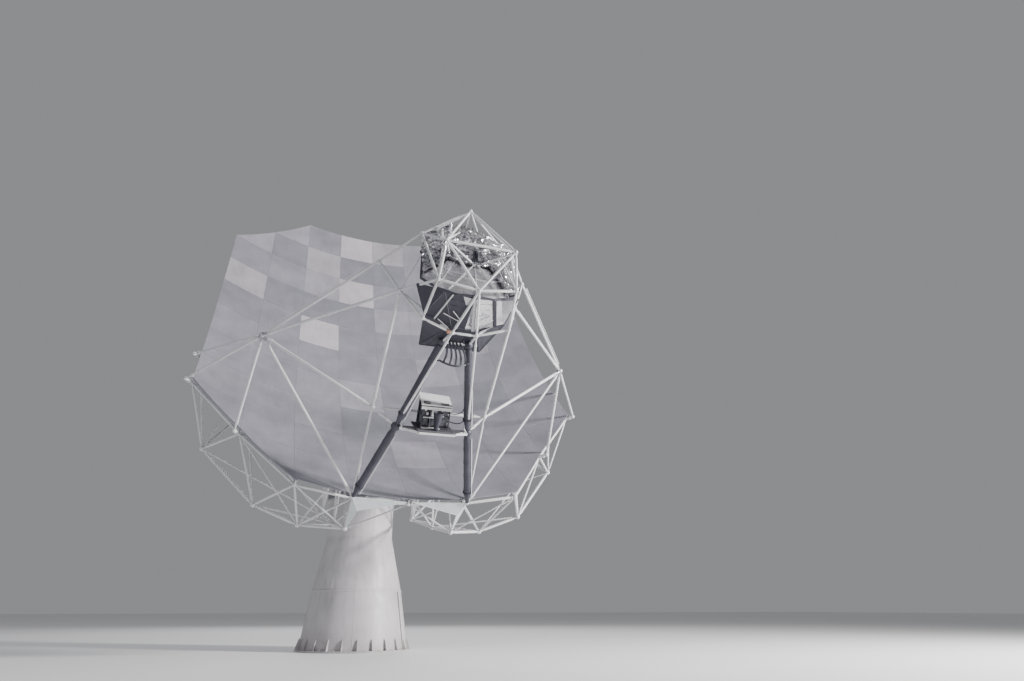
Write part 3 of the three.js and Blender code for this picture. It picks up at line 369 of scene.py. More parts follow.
def panel_metal(name):
    """The reflector's matt panels, each in its own tone: partly the panel's own tone, partly painted light and
    shade for how the panel is tilted to the light.
    """
    n = Nodes(name)
    attribute = n.node("Attribute")
    attribute.attribute_name = "tone"
    tone = n.ramp(attribute.outputs["Fac"], (0.0, (0.20, 0.20, 0.245)), (0.5, (0.30, 0.295, 0.34)),
                  (1.0, (0.60, 0.57, 0.60)))
    colour = n.mix(0.8, tone, n.ramp(n.noise(1.1, 6), (0.3, 0.42), (0.7, 0.58)), "OVERLAY")
    colour = n.patches(colour, (0.19, 0.18, 0.19), 0.52, 0.8, 0.3, 5.0, 7, 0.65, (1, 0.22, 0.22))
    colour = n.patches(colour, (0.40, 0.38, 0.36), 0.64, 0.72, 0.22, 38, 3, 0.6)
    n.bump(n.noise(1.8, 3), 0.15, 0.006)
    return n.finish(colour, n.ramp(n.noise(7, 5), (0.3, 0.42), (0.75, 0.6)), 0.25)


def metal(name, light, dark, rough):
    """Bare or galvanised metal with stains."""
    n = Nodes(name)
    base = n.ramp(n.noise(3.0, 6), (0.32, dark), (0.68, light))
    colour = n.patches(base, (0.2, 0.18, 0.17), 0.56, 0.8, 0.4, 8.0, 8, 0.7)
    n.bump(n.noise(1.3, 2, 0.5), 0.2, 0.02)
    return n.finish(colour, n.ramp(n.noise(2.2, 4), (0.3, rough[0]), (0.75, rough[1])), 0.85)


def foil_material(name):
    """Crumpled metal film, its colour dark and bright in patches: painted reflections and painted crease shade.
    """
    n = Nodes(name)
    crumple = n.noise(3.6, 5, 0.6, distortion=2.6)
    # The dark to bright ramp is painted reflection and painted crease shade, not the film's own colour
    colour = n.ramp(crumple, (0.36, (0.13, 0.13, 0.16)), (0.5, (0.55, 0.54, 0.57)), (0.64, (0.90, 0.89, 0.91)))
    n.bump(n.noise(7, 3, 0.5, distortion=2.0), 0.7, 0.03)
    return n.finish(colour, n.ramp(n.noise(9, 4), (0.35, 0.14), (0.7, 0.32)), 0.9)


PEDESTAL = streaked_paint("pedestal_paint", (0.57, 0.55, 0.56), (0.45, 0.435, 0.455))
TUBE = paint("tube_paint", (0.74, 0.735, 0.75), (0.62, 0.62, 0.645))
LEG = paint("leg_paint", (0.062, 0.062, 0.085), (0.038, 0.038, 0.056), dirt=(0.15, 0.145, 0.15), amount=0.25)
CABINET = paint("cabinet_paint", (0.76, 0.755, 0.76), (0.66, 0.66, 0.675), rough=(0.3, 0.5))
# Dark paint, also used as painted shade on the shroud's left side and bottom plates
DARK = paint("dark_paint_and_painted_shade", (0.052, 0.052, 0.072), (0.032, 0.032, 0.048), dirt=(0.13, 0.125, 0.13),
             amount=0.25)
GUSSET = paint("gusset_paint", (0.70, 0.755, 0.77), (0.60, 0.66, 0.68), patch=2.0)
MACHINE = paint("machine_paint", (0.30, 0.31, 0.335), (0.22, 0.23, 0.25), dirt=(0.12, 0.11, 0.1), amount=0.5)
EQUIPMENT = paint("equipment_paint", (0.095, 0.095, 0.115), (0.055, 0.055, 0.07), dirt=(0.26, 0.26, 0.27),
                  amount=0.3, patch=5)
STEEL = metal("node_steel", (0.56, 0.56, 0.58), (0.40, 0.40, 0.43), (0.35, 0.55))
MIRROR = metal("mirror_metal", (0.74, 0.73, 0.75), (0.56, 0.56, 0.60), (0.2, 0.34))
PANEL = panel_metal("reflector_panel")
FOIL = foil_material("foil")
GRATING = paint("grating_steel", (0.17, 0.17, 0.19), (0.11, 0.11, 0.13), rough=(0.4, 0.6), metallic=0.6)
RUST = paint("rusty_clamp", (0.36, 0.19, 0.13), (0.24, 0.12, 0.08), rough=(0.6, 0.85),
             dirt=(0.14, 0.08, 0.06), patch=6)

# Reflector panels
GAP, SKIN, PANEL_DEPTH, RIB_WIDTH, RIB_TONE, STEPS = 0.006, 0.014, 0.058, 0.045, 0.4, 4
RIB_SECTION = ((-1, SKIN - 0.002), (1, SKIN - 0.002), (1, PANEL_DEPTH), (-1, PANEL_DEPTH))
RIB_LINES = [(fixed, False) for fixed in (0.03, 0.34, 0.66, 0.97)]
RIB_LINES += [(fixed, True) for fixed in (0.04, 0.5, 0.94)]
# Panels that stand out, by column from the left and row from the bottom, both from 0; their tones are partly
# their own and partly painted light and shade from how each panel faces the light
PANEL_TONES_AND_PAINTED_LIGHT = {
    0.94: {(3, 9), (3, 7), (2, 5)},
    0.7: {(0, 6), (2, 8), (4, 9)},
    0.62: {(1, 9), (0, 8), (2, 7), (4, 6), (5, 6), (5, 4), (3, 3), (4, 1), (6, 5)},
    0.32: {(1, 8), (3, 8), (1, 6), (3, 6), (2, 6), (4, 8), (0, 5), (6, 3), (3, 2)},
}
tones = random.Random(11)
panel_tone_and_painted_light = {}
# Other panels get a random tone, partly their own and partly painted light and shade for their tilt to one
# another
for column in range(COLUMNS):
    for row in range(len(ROW_EDGES) - 1):
        named = [tone for tone, panels in PANEL_TONES_AND_PAINTED_LIGHT.items() if (column, row) in panels]
        panel_tone_and_painted_light[column, row] = named[0] if named else tones.uniform(0.42, 0.54)


def panel(shape, column, row):
    """A curved skin with channel ribs, between four seam corners, or three at a stepped edge."""
    corners = []
    for line, r in ((column, row), (column + 1, row), (column + 1, row + 1), (column, row + 1)):
        low, high = seam_rows(line)
        if low <= r <= high:
            corners.append(Vector((seam_x(line, ROW_EDGES[r]), ROW_EDGES[r])))
    if len(corners) < 3:
        return
    middle = sum(corners, Vector((0, 0))) / len(corners)
    inset = [c + (middle - c).normalized() * GAP * 0.7 for c in (corners + corners[-1:])[:4]]

    def place(s, t):
        return inset[0].lerp(inset[1], s).lerp(inset[3].lerp(inset[2], s), t)

    shares = [k / STEPS for k in range(STEPS + 1)]
    grid = [behind(*place(s, t), depth) for depth in (0.0, SKIN) for t in shares for s in shares]
    plate(shape, grid, STEPS + 1, False, panel_tone_and_painted_light[column, row])
    for fixed, along_s in RIB_LINES:
        rib = []
        for share in shares:
            t = 0.03 + 0.94 * share
            p, q = [place(t, f) if along_s else place(f, t) for f in (fixed, fixed + 0.02)]
            across = (q - p if (q - p).length > 1e-6 else Vector((1, 0))).normalized() * RIB_WIDTH / 2
            rib += [behind(*(p + across * offset), depth) for offset, depth in RIB_SECTION]
        loft(shape, rib, 4, False, RIB_TONE)


for column in range(COLUMNS):
    strip = Shape()
    ends = seam_rows(column) + seam_rows(column + 1)
    for row in range(min(ends), max(ends)):
        panel(strip, column, row)
    strip.piece(f"panel_column_{column + 1}", PANEL, "reflector_panels", f"reflector_column_{column + 1}")


# Nodes are written as names, or as line.row of the panels' corners
def node_lists(text):
    return [[tuple(int(n) for n in word.split(".")) if word[0].isdigit() else word for word in part.split()]
            for part in text.split(",")]


def chains(text):
    """Pairs of neighbours along each list of nodes."""
    return [pair for nodes in node_lists(text) for pair in zip(nodes, nodes[1:])]


def fans(text):
    """Pairs of the first node of each list with every other one."""
    return [(nodes[0], node) for nodes in node_lists(text) for node in nodes[1:]]


# Back frame, right half, in the dish's frame
FRAME = {
    "mainFoot": V(1.86, 1.32, -1.4), "mainLow": V(1.86, 3.56, -2.15), "mainKeel": V(1.86, 6.54, -3.04),
    "mainAxis": V(1.86, 7.9, 0.2), "mainHigh": V(1.8, 11.0, 1.55), "mainHead": V(1.7, 13.3, 3.6),
    "rimFoot": V(3.29, 2.32, -1.74), "rimLow": V(4.81, 2.5, -1.17), "rimSide": V(6.62, 4.42, 0.05),
    "sideAxis": V(5.3, 7.9, 0.5), "sideHigh": V(4.9, 11.1, 2.15), "sideHead": V(3.35, 13.3, 3.9),
}
CHORDS = chains(
    "mainFoot mainLow mainKeel mainAxis mainHigh mainHead, rimFoot mainLow, mainKeel sideAxis,"
    "mainAxis sideAxis, mainFoot rimFoot rimLow rimSide sideAxis sideHigh sideHead mainHead, mainHigh sideHigh,"
    "5.0 5.1 5.2 5.3 5.5 5.7 5.9 5.10, 7.1 7.3 7.5 7.7 7.9, 8.2 8.3 8.5 8.7 8.8 7.9 6.10 5.10,"
    "8.2 7.1 6.0 5.0, 5.1 7.1, 5.3 7.3 8.3, 5.5 7.5 8.5, 5.7 7.7 8.7, 5.9 7.9")
BRACES = fans(
    "mainFoot 5.0 5.1, mainLow 5.1 5.2, mainKeel 5.2 5.3, mainAxis 5.3 5.5, mainHigh 5.5 5.7,"
    "mainHead 5.7 5.9 5.10, rimFoot 5.0 6.0 5.1, rimLow 6.0 7.1 7.3, rimSide 7.1 8.2 8.3 7.3,"
    "sideAxis 7.3 7.5 8.3 8.5, sideHigh 7.5 7.7 8.5 8.7, sideHead 7.7 7.9 6.10")
FINE_BRACES = fans(
    "mainFoot 4.0 6.0, mainLow 4.1, mainHigh 4.7, mainHead 4.9, mainAxis sideHigh, rimFoot mainKeel 7.1,"
    "rimLow mainLow, rimSide mainKeel, sideAxis 6.4, sideHigh mainHead 6.6")
CHORD_RADIUS, BRACE_RADIUS, FINE_RADIUS, NODE_BALL = 0.05, 0.038, 0.026, 0.074
LUGS = [(5, 0), (7, 1), (8, 2), (8, 3)]
LUG_REACH, LUG_DEPTH, LUG_RADIUS = 0.2, 0.09, 0.07
AXLE_BOSS = [(0, 0.33), (0.03, 0.33), (0.03, 0.29), (0.23, 0.29), (0.23, 0.33), (0.258, 0.33), (0.26, 0.12)]


def frame_point(name, side):
    return flip(FRAME[name] if isinstance(name, str) else top(*name), side)


def on_main(name):
    return name.startswith("main") if isinstance(name, str) else name[0] == 5


def lug_point(line, row, side):
    y = ROW_EDGES[row]
    x = side * seam_x(line, y)
    return behind(x, y, LUG_DEPTH) + V(x, y - AXIS_Y).normalized() * LUG_REACH


def pads(shape, line, row, side=1):
    """A post with a round plate near its end, from a top chord node to the corners of the panels."""
    foot = frame_point((line, row), side)
    n = surface_normal(foot.x, foot.y)
    rod(shape, foot, foot + n * (TOP_CHORD_DEPTH - 0.062), 0.028, 8)
    collar(shape, foot + n * (TOP_CHORD_DEPTH - 0.075), n, 0, 0.014, 0.075, 8)


for side, label in PAIR:
    truss, outer = Shape(), Shape()
    used = set()
    for pairs, radius in ((CHORDS, CHORD_RADIUS), (BRACES, BRACE_RADIUS), (FINE_BRACES, FINE_RADIUS)):
        for a, b in pairs:
            used |= {a, b}
            target = truss if on_main(a) and on_main(b) else outer
            member(target, frame_point(a, side), frame_point(b, side), radius)
    for name in sorted(used - {"mainAxis"}, key=str):
        corner = isinstance(name, tuple)
        if not corner or name[0] > 4:
            size = NODE_BALL * (1 if corner else 1.15)
            ball(truss if on_main(name) else outer, frame_point(name, side), size, 14)
    for line in range(5, COLUMNS + 1):
        low, high = seam_rows(line)
        target = truss if line == 5 else outer
        for row in range(low, high + 1):
            pads(target, line, row, side)
            here = frame_point((line, row), side)
            if row < high:
                member(target, here, frame_point((line, row + 1), side), FINE_RADIUS, 0.05, 8)
            if line < COLUMNS and seam_rows(line + 1)[0] <= row <= seam_rows(line + 1)[1]:
                member(outer, here, frame_point((line + 1, row), side), FINE_RADIUS, 0.05, 8)
    # A bracket beyond the panels' edge at each lug: tube, end ball and flange
    for line, row in LUGS:
        target = truss if line == 5 else outer
        a, b = frame_point((line, row), side), lug_point(line, row, side)
        rod(target, a, b, LUG_RADIUS * 0.66, 16)
        ball(target, b, LUG_RADIUS, 16)
        flange(target, a.lerp(b, 0.55), b - a, LUG_RADIUS * 1.2, 0.012, 6, 16)
    boss, out = V(side * 1.73, AXIS_Y, AXIS_Z), V(side)
    rings(truss, AXLE_BOSS, boss, out, 40, False)
    bolts(truss, boss + out * 0.258, out, 0.23, 12, 0.022, 0.018)
    truss.piece(f"main_truss_tubes_{label}", TUBE, "tube_paint", f"main_truss_{label}")
    outer.piece(f"side_frame_tubes_{label}", TUBE, "tube_paint", f"side_frame_{label}")

# Middle of the back frame
STRONG_ROWS = (0, 1, 3, 5, 7, 9, 10)
CENTRE_HIGH, CENTRE_HEAD = V(0, 11.0, 1.55), V(0, 13.3, 3.6)
centre = Shape()
for row in range(len(ROW_EDGES)):
    here = top(4, row)
    for side in (-1, 1):
        member(centre, here, frame_point((5, row), side), CHORD_RADIUS if row in STRONG_ROWS else FINE_RADIUS)
    pads(centre, 4, row)
    ball(centre, here, NODE_BALL * 0.9, 14)
    if row:
        member(centre, top(4, row - 1), here, CHORD_RADIUS)
        for side in (-1, 1):
            member(centre, top(4, row - 1), frame_point((5, row), side), FINE_RADIUS)
member(centre, CENTRE_HIGH, CENTRE_HEAD, CHORD_RADIUS)
for side in (-1, 1):
    member(centre, CENTRE_HIGH, frame_point("mainHigh", side), CHORD_RADIUS)
    member(centre, CENTRE_HEAD, frame_point("mainHead", side), CHORD_RADIUS)
    member(centre, CENTRE_HIGH, frame_point("mainHead", side), FINE_RADIUS)
for node, rows in ((CENTRE_HIGH, (5, 7)), (CENTRE_HEAD, (7, 9))):
    for row in rows:
        member(centre, node, top(4, row), BRACE_RADIUS)
    ball(centre, node, NODE_BALL, 14)
centre.piece("centre_frame_tubes", TUBE, "tube_paint", "centre_frame")

# Folded plates under the lower edge
plates = Shape()
for side in (-1, 1):
    foot, main = lug_point(5, 0, side), frame_point("mainFoot", side)
    corner, tip = foot + V(-side * 0.25, 0.16, -0.5), V(side * 0.15, 0.43, -0.06)
    for end in (tip, main):
        slab(plates, [foot, corner, end], 0.022)
    for a, b in ((corner, tip), (foot, tip), (corner, main), (foot, corner)):
        rod(plates, a, b, 0.017, 8)
plates.piece("edge_gussets", GUSSET, "tube_paint")

# Nodes of the right half: of the struts in front of the reflector, of the cage, and of the shroud
POINTS = {
    "wing": V(5.27, 2.18, 4.64), "elbow": V(1.86, 0, 3.15), "platform": V(1.17, -0.59, 2.75),
    "shoulder": V(2.35, 0, 7.68), "hip": V(1.83, -1.1, 6.97), "legHead": V(0.42, -1.52, 5.68),
    "apex": V(0, -0.78, 9.63), "roof": V(1.39, -0.88, 8.73), "brow": V(1.04, -2.48, 8.67),
    "cheek": V(1.165, -2.75, 7.575), "nose": V(0, -2.94, 7.44), "jaw": V(1.31, -2.29, 6.39),
    "chin": V(0.37, -2.25, 6.08),
    "bandMiddle": V(0, -2.7, 7.2), "bandTop": V(0.85, -2.5, 7.25), "bandEnd": V(1.55, -1.95, 7.3),
    "lowMiddle": V(0, -2.17, 6.2), "low": V(0.4, -2.15, 6.25), "lowEnd": V(1.22, -2.05, 6.5),
    "plateMiddle": V(0, -1.0, 5.46), "plateCorner": V(0.95, -1.0, 5.46),
}
STRUT, SLIM, THIN, CHIN_STRUT = 0.052, 0.047, 0.041, 0.033
STRUTS = [
    ("wing_to_cage_top", "wing", "shoulder", SLIM), ("wing_to_cage_side", "wing", "hip", SLIM),
    ("wing_to_foot", "wing", (5, 0), SLIM), ("wing_to_rim", "wing", (7, 1), SLIM),
    ("wing_to_corner", "wing", (8, 2), THIN), ("wing_to_edge", "wing", (8, 3), THIN),
    ("wing_to_elbow", "wing", "elbow", STRUT), ("elbow_to_cage", "elbow", "hip", STRUT),
    ("elbow_to_foot", "elbow", (5, 0), THIN), ("platform_to_chin", "platform", "chin", CHIN_STRUT),
]


def point(name, side):
    return flip(POINTS[name], side) if isinstance(name, str) else lug_point(*name, side)


def strut(shape, a, b, radius):
    """A long tube with bolted end flanges, a splice every few metres and cone ends."""
    length, w, neck, splice = (b - a).length, (b - a).normalized(), 0.16, 2.6
    end = [(0.05, radius * 0.5), (neck, radius * 0.5), (neck + 0.16, radius)]
    rings(shape, end + [(length - along, r) for along, r in reversed(end)], a, w, 18)
    for at in (a + w * (neck + 0.2), b - w * (neck + 0.2)):
        flange(shape, at, w, radius * 1.3, 0.012, 8, 20)
    splices = int(length // splice)
    for i in range(1, splices):
        at = a + w * (length * i / splices)
        collar(shape, at, w, -0.05, 0.05, radius * 1.06, 18)
        for across in frame_of(w)[:2]:
            rod(shape, at - across * radius * 1.16, at + across * radius * 1.16, 0.009, 6)


def conduit(shape, a, b, reach, radius, start, end, towards):
    """A thin pipe on brackets along a tube from a to b."""
    length, w = (b - a).length, (b - a).normalized()
    out = (towards - w * w.dot(towards)).normalized()
    count = max(int((end - start) * length / 0.9), 2)
    line = [a + w * length * (start + (end - start) * k / count) + out * reach for k in range(count + 1)]
    bent_tube(shape, line, radius, 8)
    for p in line[::2]:
        beam(shape, p, p - out * reach * 0.9, 0.022, 0.012, w)


def hub(shape, name, side, radius, reach):
    """A joint of struts: a ball, and a short socket and a nut on each strut."""
    at = point(name, side)
    ball(shape, at, radius, 20)
    for _, start, end, strut_radius in STRUTS:
        if name in (start, end):
            w = (point(end if start == name else start, side) - at).normalized()
            collar(shape, at, w, radius * 0.5, reach, strut_radius * 0.7, 16, True)
            collar(shape, at, w, radius * 0.9, radius * 0.9 + 0.03, strut_radius, 6)


for side, label in PAIR:
    for name, start, end, radius in STRUTS:
        tube, a, b = Shape(), point(start, side), point(end, side)
        strut(tube, a, b, radius)
        if name == "wing_to_cage_top":
            conduit(tube, a, b, 0.088, 0.012, 0.08, 0.94, V(0, -0.3, 1))
        tube.piece(f"tube_{label}_{name}", TUBE, "tube_paint", f"strut_{label}_{name}")
for side, label in PAIR:
    wing = Shape()
    hub(wing, "wing", side, 0.105, 0.24)
    wing.piece(f"wing_hub_{label}", STEEL, "node_steel", f"wing_node_{label}")
bar = Shape()
for side in (-1, 1):
    hub(bar, "elbow", side, 0.08, 0.22)
    strut(bar, point("platform", side), point("elbow", side), 0.042)
strut(bar, point("elbow", -1), point("elbow", 1), 0.046)
bar.piece("elbow_bar_tubes", TUBE, "tube_paint", "elbow_cross_bar")

# Legs
LEG_NECK, LEG_RADIUS, LEG_PARTS = 0.07, 0.12, 8
for side, label in PAIR:
    leg, trim = Shape(), Shape()
    foot, knee, head = point((5, 0), side), point("platform", side), point("legHead", side)
    for a, b, end in ((foot, knee, 0.92), (knee, head, 0.5)):
        length, w = (b - a).length, (b - a).normalized()
        rings(leg, [(0.05, LEG_NECK), (0.2, LEG_NECK), (0.42, LEG_RADIUS), (length - 0.3, LEG_RADIUS),
                    (length - 0.12, 0.09)], a, w, 28)
        flange(leg, a + w * 0.5, w, 0.15, 0.016, 12, 28)
        conduit(trim, a, b, 0.145, 0.017, 0.08, end, V(1, -0.55, 0))
        for k in range(1, LEG_PARTS, 2):
            collar(leg, a + w * (0.35 + (length - 0.7) * k / LEG_PARTS), w, -0.02, 0.02, 0.127, 24)
    ball(leg, knee, 0.15, 28)
    ball(leg, head, 0.13, 24)
    leg.piece(f"leg_tube_{label}", LEG, "tube_paint", f"leg_{label}")
    trim.piece(f"leg_conduit_{label}", TUBE, "tube_paint")

# Curved ribs between the legs, under the cage
ribs = Shape()
RAIL_END, RAIL_SAG, RAIL_DIP, RAIL_STEPS = V(0.43, -1.69, 5.14), 0.18, 0.08, 12
RIB_COUNT, RIB_STEPS = 5, 8


def rail(t):
    """Along the rail from the left leg to the right, bowed towards the front."""
    bow = 4 * t * (1 - t)
    return V(RAIL_END.x * (2 * t - 1), RAIL_END.y - RAIL_SAG * bow, RAIL_END.z - RAIL_DIP * bow)


bent_tube(ribs, [rail(k / RAIL_STEPS) for k in range(RAIL_STEPS + 1)], 0.03, 10)
for side in (-1, 1):
    rod(ribs, point("platform", side).lerp(point("legHead", side), 0.80), rail(0.5 + side * 0.5), 0.03)
for i in range(RIB_COUNT):
    low = rail((i + 0.5) / RIB_COUNT)
    high = V(low.x * 0.6 - 0.1, -1.50, 5.74)
    shares = [k / RIB_STEPS for k in range(RIB_STEPS + 1)]
    rib = [low.lerp(high, share) + V(0.05, -0.1) * sin(pi * share) for share in shares]
    for a, b in zip(rib, rib[1:]):
        beam(ribs, a, b, 0.06, 0.03, V(0, -1, 0.3))
ribs.piece("leg_ribs", DARK, "tube_paint")

# Cage round the secondary mirror
CAGE_BARS = fans(
    "apex roof brow, roof brow cheek shoulder, brow cheek nose, cheek nose hip jaw, shoulder hip,"
    "hip jaw chin, nose chin, jaw chin, legHead chin")
CAGE_TUBE = (0.039, 0.06, 14, 0.55)
CAGE_BALL, LEG_HEAD_BALL = 0.062, 0.1
cage = Shape()
for side in (-1, 1):
    for a, b in CAGE_BARS:
        member(cage, point(a, side), point(b, side), *CAGE_TUBE)
    for name in sorted({name for pair in CAGE_BARS for name in pair}):
        if side > 0 or POINTS[name].x:
            ball(cage, point(name, side), LEG_HEAD_BALL if name == "legHead" else CAGE_BALL, 16)
    for name in ("shoulder", "hip", "chin"):
        hub(cage, name, side, CAGE_BALL, 0.2)
for name in ("brow", "chin", "legHead"):
    member(cage, point(name, -1), point(name, 1), *CAGE_TUBE)

# Secondary mirror: part of an ellipsoid about the main focus and the feed
MAIN_FOCUS, FEED_FOCUS = V(0, 0, 7.57), V(0, -0.92, 3.4)
RAY_SUM, MIRROR_TILT = 6.98, radians(44)
MIRROR_AXIS = V(0, -cos(MIRROR_TILT), sin(MIRROR_TILT))
MIRROR_DOWN = V(0, -MIRROR_AXIS.z, MIRROR_AXIS.y)
# The rim's angle from the mirror's axis, by the angle round it from the low side, in degrees
RIM = [(0, 50.5), (30, 54), (45, 56), (60, 49), (90, 47), (180, 46.5)]


def rim_angle(round_deg):
    turn = abs((round_deg + 180) % 360 - 180)
    for (a, ra), (b, rb) in zip(RIM, RIM[1:]):
        if turn <= b:
            return ra + (rb - ra) * (turn - a) / (b - a)
    return RIM[-1][1]


def mirror_point(share, round_deg, offset=0.0):
    """share is 0 at the mirror's axis and 1 at its rim; offset is how far behind the mirror."""
    out, turn = radians(rim_angle(round_deg) * share), radians(round_deg)
    direction = MIRROR_AXIS * cos(out) + MIRROR_DOWN * sin(out) * cos(turn) + ACROSS * sin(out) * sin(turn)
    to_feed = FEED_FOCUS - MAIN_FOCUS
    half_sum, half_span = RAY_SUM / 2, to_feed.length / 2
    towards = direction.dot(to_feed.normalized())
    distance = (half_sum ** 2 - half_span ** 2) / (half_sum - half_span * towards)
    return MAIN_FOCUS + direction * (distance + offset)


mirror = Shape()
SHARES, SECTORS, SECTOR_STEPS, SEAM, SEAM_DEGREES, MIRROR_SKIN = 12, 12, 4, 0.006, 0.36, 0.018
for sector in range(SECTORS):
    for inner, outer in ((0, 5), (5, 9), (9, SHARES)):
        tone = tones.uniform(0.3, 0.75)
        shares = [k / SHARES for k in range(inner, outer + 1)]
        shares[0] = shares[0] + SEAM if inner else 0.002
        shares[-1] -= SEAM if outer < SHARES else 0
        turns = [(sector + i / SECTOR_STEPS) * 360 / SECTORS for i in range(SECTOR_STEPS + 1)]
        turns[0] += SEAM_DEGREES
        turns[-1] -= SEAM_DEGREES
        grid = [mirror_point(share, turn, offset)
                for offset in (MIRROR_SKIN, 0.0) for share in shares for turn in turns]
        plate(mirror, grid, len(turns), True, tone)
mirror.piece("mirror_panels", MIRROR, "mirror_metal", "secondary_mirror")

# Backing structure of the mirror
BACK_RIM, BACK_OFFSET = 48, 0.03
backing, dark = Shape(), Shape()
for k in range(BACK_RIM):
    a, b = [mirror_point(0.8, n * 360 / BACK_RIM, BACK_OFFSET) for n in (k, k + 1)]
    beam(backing, a, b, 0.016, 0.03, a - MAIN_FOCUS)
for sector in range(SECTORS):
    line = [mirror_point(k / SHARES, sector * 360 / SECTORS, BACK_OFFSET) for k in range(1, SHARES + 1)]
    for a, b in zip(line, line[1:]):
        beam(backing, a, b, 0.016, 0.034, a - MAIN_FOCUS)
for name, side in (("roof", -1), ("roof", 1), ("brow", -1), ("brow", 1), ("apex", 1)):
    foot = point(name, side)
    rod(backing, foot, MAIN_FOCUS + (foot - MAIN_FOCUS) * 0.66, 0.03, 12)
# Bars from nodes of the cage to pads on the mirror: the node, how far out, and the angle round
for name, share, turn in (("apex", 0.98, 150), ("apex", 0.97, 108), ("brow", 0.6, 3), ("roof", 0.9, 125),
                          ("cheek", 0.62, 60), ("hip", 0.97, 65), ("brow", 0.35, 150), ("brow", 0.5, 88)):
    for side in (-1, 1):
        pad = mirror_point(share, turn * side, 0.14)
        member(backing, point(name, side), pad, 0.027, 0.03, 10, 0.6)
        ball(backing, pad, 0.045, 10)
for side in (-1, 1):
    low, high = mirror_point(0.6, 3 * side, 0.14), mirror_point(0.97, 22 * side, 0.12)
    member(backing, low, high, 0.024, 0.03, 10, 0.6)
    beam(dark, mirror_point(0.36, 2 * side, 0.2), mirror_point(0.6, 3 * side, 0.16), 0.05, 0.06)
backing.piece("mirror_backing", TUBE, "mirror_metal")
# A dark rim along the mirror's low side
for k in range(-5, 5):
    a, b = [mirror_point(1.0, n * 15, BACK_OFFSET) for n in (k, k + 1)]
    thick = 0.066 if -5 < k < 4 else 0.04
    beam(dark, a, b, thick, thick, a - MAIN_FOCUS)

# Shroud under the mirror: a band with wavy folds, pale on the right, over dark plates; the band's left side and
# the bottom plates are dark as painted shade
WAVES, WAVE_STEPS = 6, 9
band, edges = Shape(), Shape()
for side in (-1, 1):
    # On the left the band's panels and folds go with the dark plates: painted shade, as that side is lit less
    face = band if side > 0 else dark
    for names in ("bandMiddle bandTop low lowMiddle", "bandTop bandEnd lowEnd", "bandTop lowEnd low"):
        corners = [point(name, side) for name in names.split()]
        middle = sum(corners, V()) / len(corners)
        slab(face, [middle + (c - middle) * 0.985 for c in corners], 0.016, tones.uniform(0.4, 0.7))
    # The bottom plates are dark: painted shade on their underside
    for names in ("lowMiddle low plateCorner plateMiddle", "low lowEnd plateCorner"):
        slab(dark, [point(name, side) for name in names.split()], 0.02)
    for k in range(1, WAVES):
        left = point("bandMiddle", side).lerp(point("lowMiddle", side), k / WAVES)
        right = point("bandTop", side).lerp(point("low", side), k / WAVES + 0.02)
        wave = [left.lerp(right, j / WAVE_STEPS) + V(0, -0.016, 0.02 * sin(j * 1.3 + k))
                for j in range(1, WAVE_STEPS)]
        bent_tube(face, wave, 0.007, 6)
    target, width = (dark, 0.09) if side > 0 else (edges, 0.035)
    beam(target, V(0.62 * side, -2.6, 7.22), V(0.93 * side, -2.12, 6.41), width, 0.06, FACING_UP)
    for a, b in ((V(0.75, -2.36, 6.62), V(0.2, -2.31, 6.42)), (V(0.5, -2.43, 6.72), V(0.24, -2.35, 6.5)),
                 (V(0.85, -2.2, 6.42), V(0.5, -2.16, 6.2))):
        beam(edges, flip(a, side), flip(b, side), 0.022, 0.022, FACING_UP)
    for a, b in chains("bandMiddle bandTop bandEnd lowEnd plateCorner, lowMiddle low lowEnd, low plateCorner,"
                       "plateMiddle plateCorner"):
        beam(dark, point(a, side), point(b, side), 0.05, 0.05, FACING_UP)
    for f in (0.25, 0.5, 0.75):
        a = point("lowMiddle", side).lerp(point("low", side), f * 2 if f < 0.5 else 1)
        b = point("plateMiddle", side).lerp(point("plateCorner", side), f)
        beam(dark, a + V(0, 0.012, -0.02), b + V(0, 0.012, -0.02), 0.03, 0.04, FACING_UP)
slab(band, [V(-0.33, -2.63, 7.2), V(0.0, -2.72, 7.17), V(-0.04, -2.62, 6.98), V(-0.2, -2.56, 6.96)],
     0.02, 0.9)
FOLD_HIGH, FOLD_LOW, FOLDS = V(0.02, -2.74, 7.16), V(0.28, -2.22, 6.2), 6
for k in range(FOLDS):
    a, b = [FOLD_HIGH.lerp(FOLD_LOW, n / FOLDS) + V(0.02 * (n % 2), -0.03, 0) for n in (k, k + 1)]
    out, back = V(-0.06, -0.05, 0), V(-0.10, -0.02, 0)
    slab(band, [a, b, b + out, a + out], 0.006, 0.7)
    slab(band, [a + out, b + out, b + back, a + back], 0.006, 0.5)
band.piece("shroud_band", MIRROR, "dark_plate", "mirror_shroud")
edges.piece("shroud_stiffeners", TUBE, "tube_paint")
dark.piece("shroud_plates", DARK, "dark_plate")
cage.piece("cage_tubes", TUBE, "tube_paint", "secondary_cage")

# Wrinkled foil over the mirror's back, with a window left open towards the low side
WINDOW, WINDOW_EDGE, WINDOW_SHARE, FULL_SHARE = (-44, 26), 9, 0.6, 0.97
ROWS, COLS = 44, 220
FOIL_BASE, FOIL_THICKNESS, FOIL_HOLE = 0.065, 0.003, 0.03


def smooth_step(x):
    x = min(max(x, 0), 1)
    return x * x * (3 - 2 * x)


def foil_reach(turn):
    """How far out the foil goes, 1 being the mirror's rim, at an angle round it."""
    low, high = WINDOW
    beside = smooth_step((low - turn) / WINDOW_EDGE + 0.5) + smooth_step((turn - high) / WINDOW_EDGE + 0.5)
    return WINDOW_SHARE + (FULL_SHARE - WINDOW_SHARE) * min(beside, 1)


def crease(p, mean, height):
    return (mean - abs(noise.noise(p))) * height


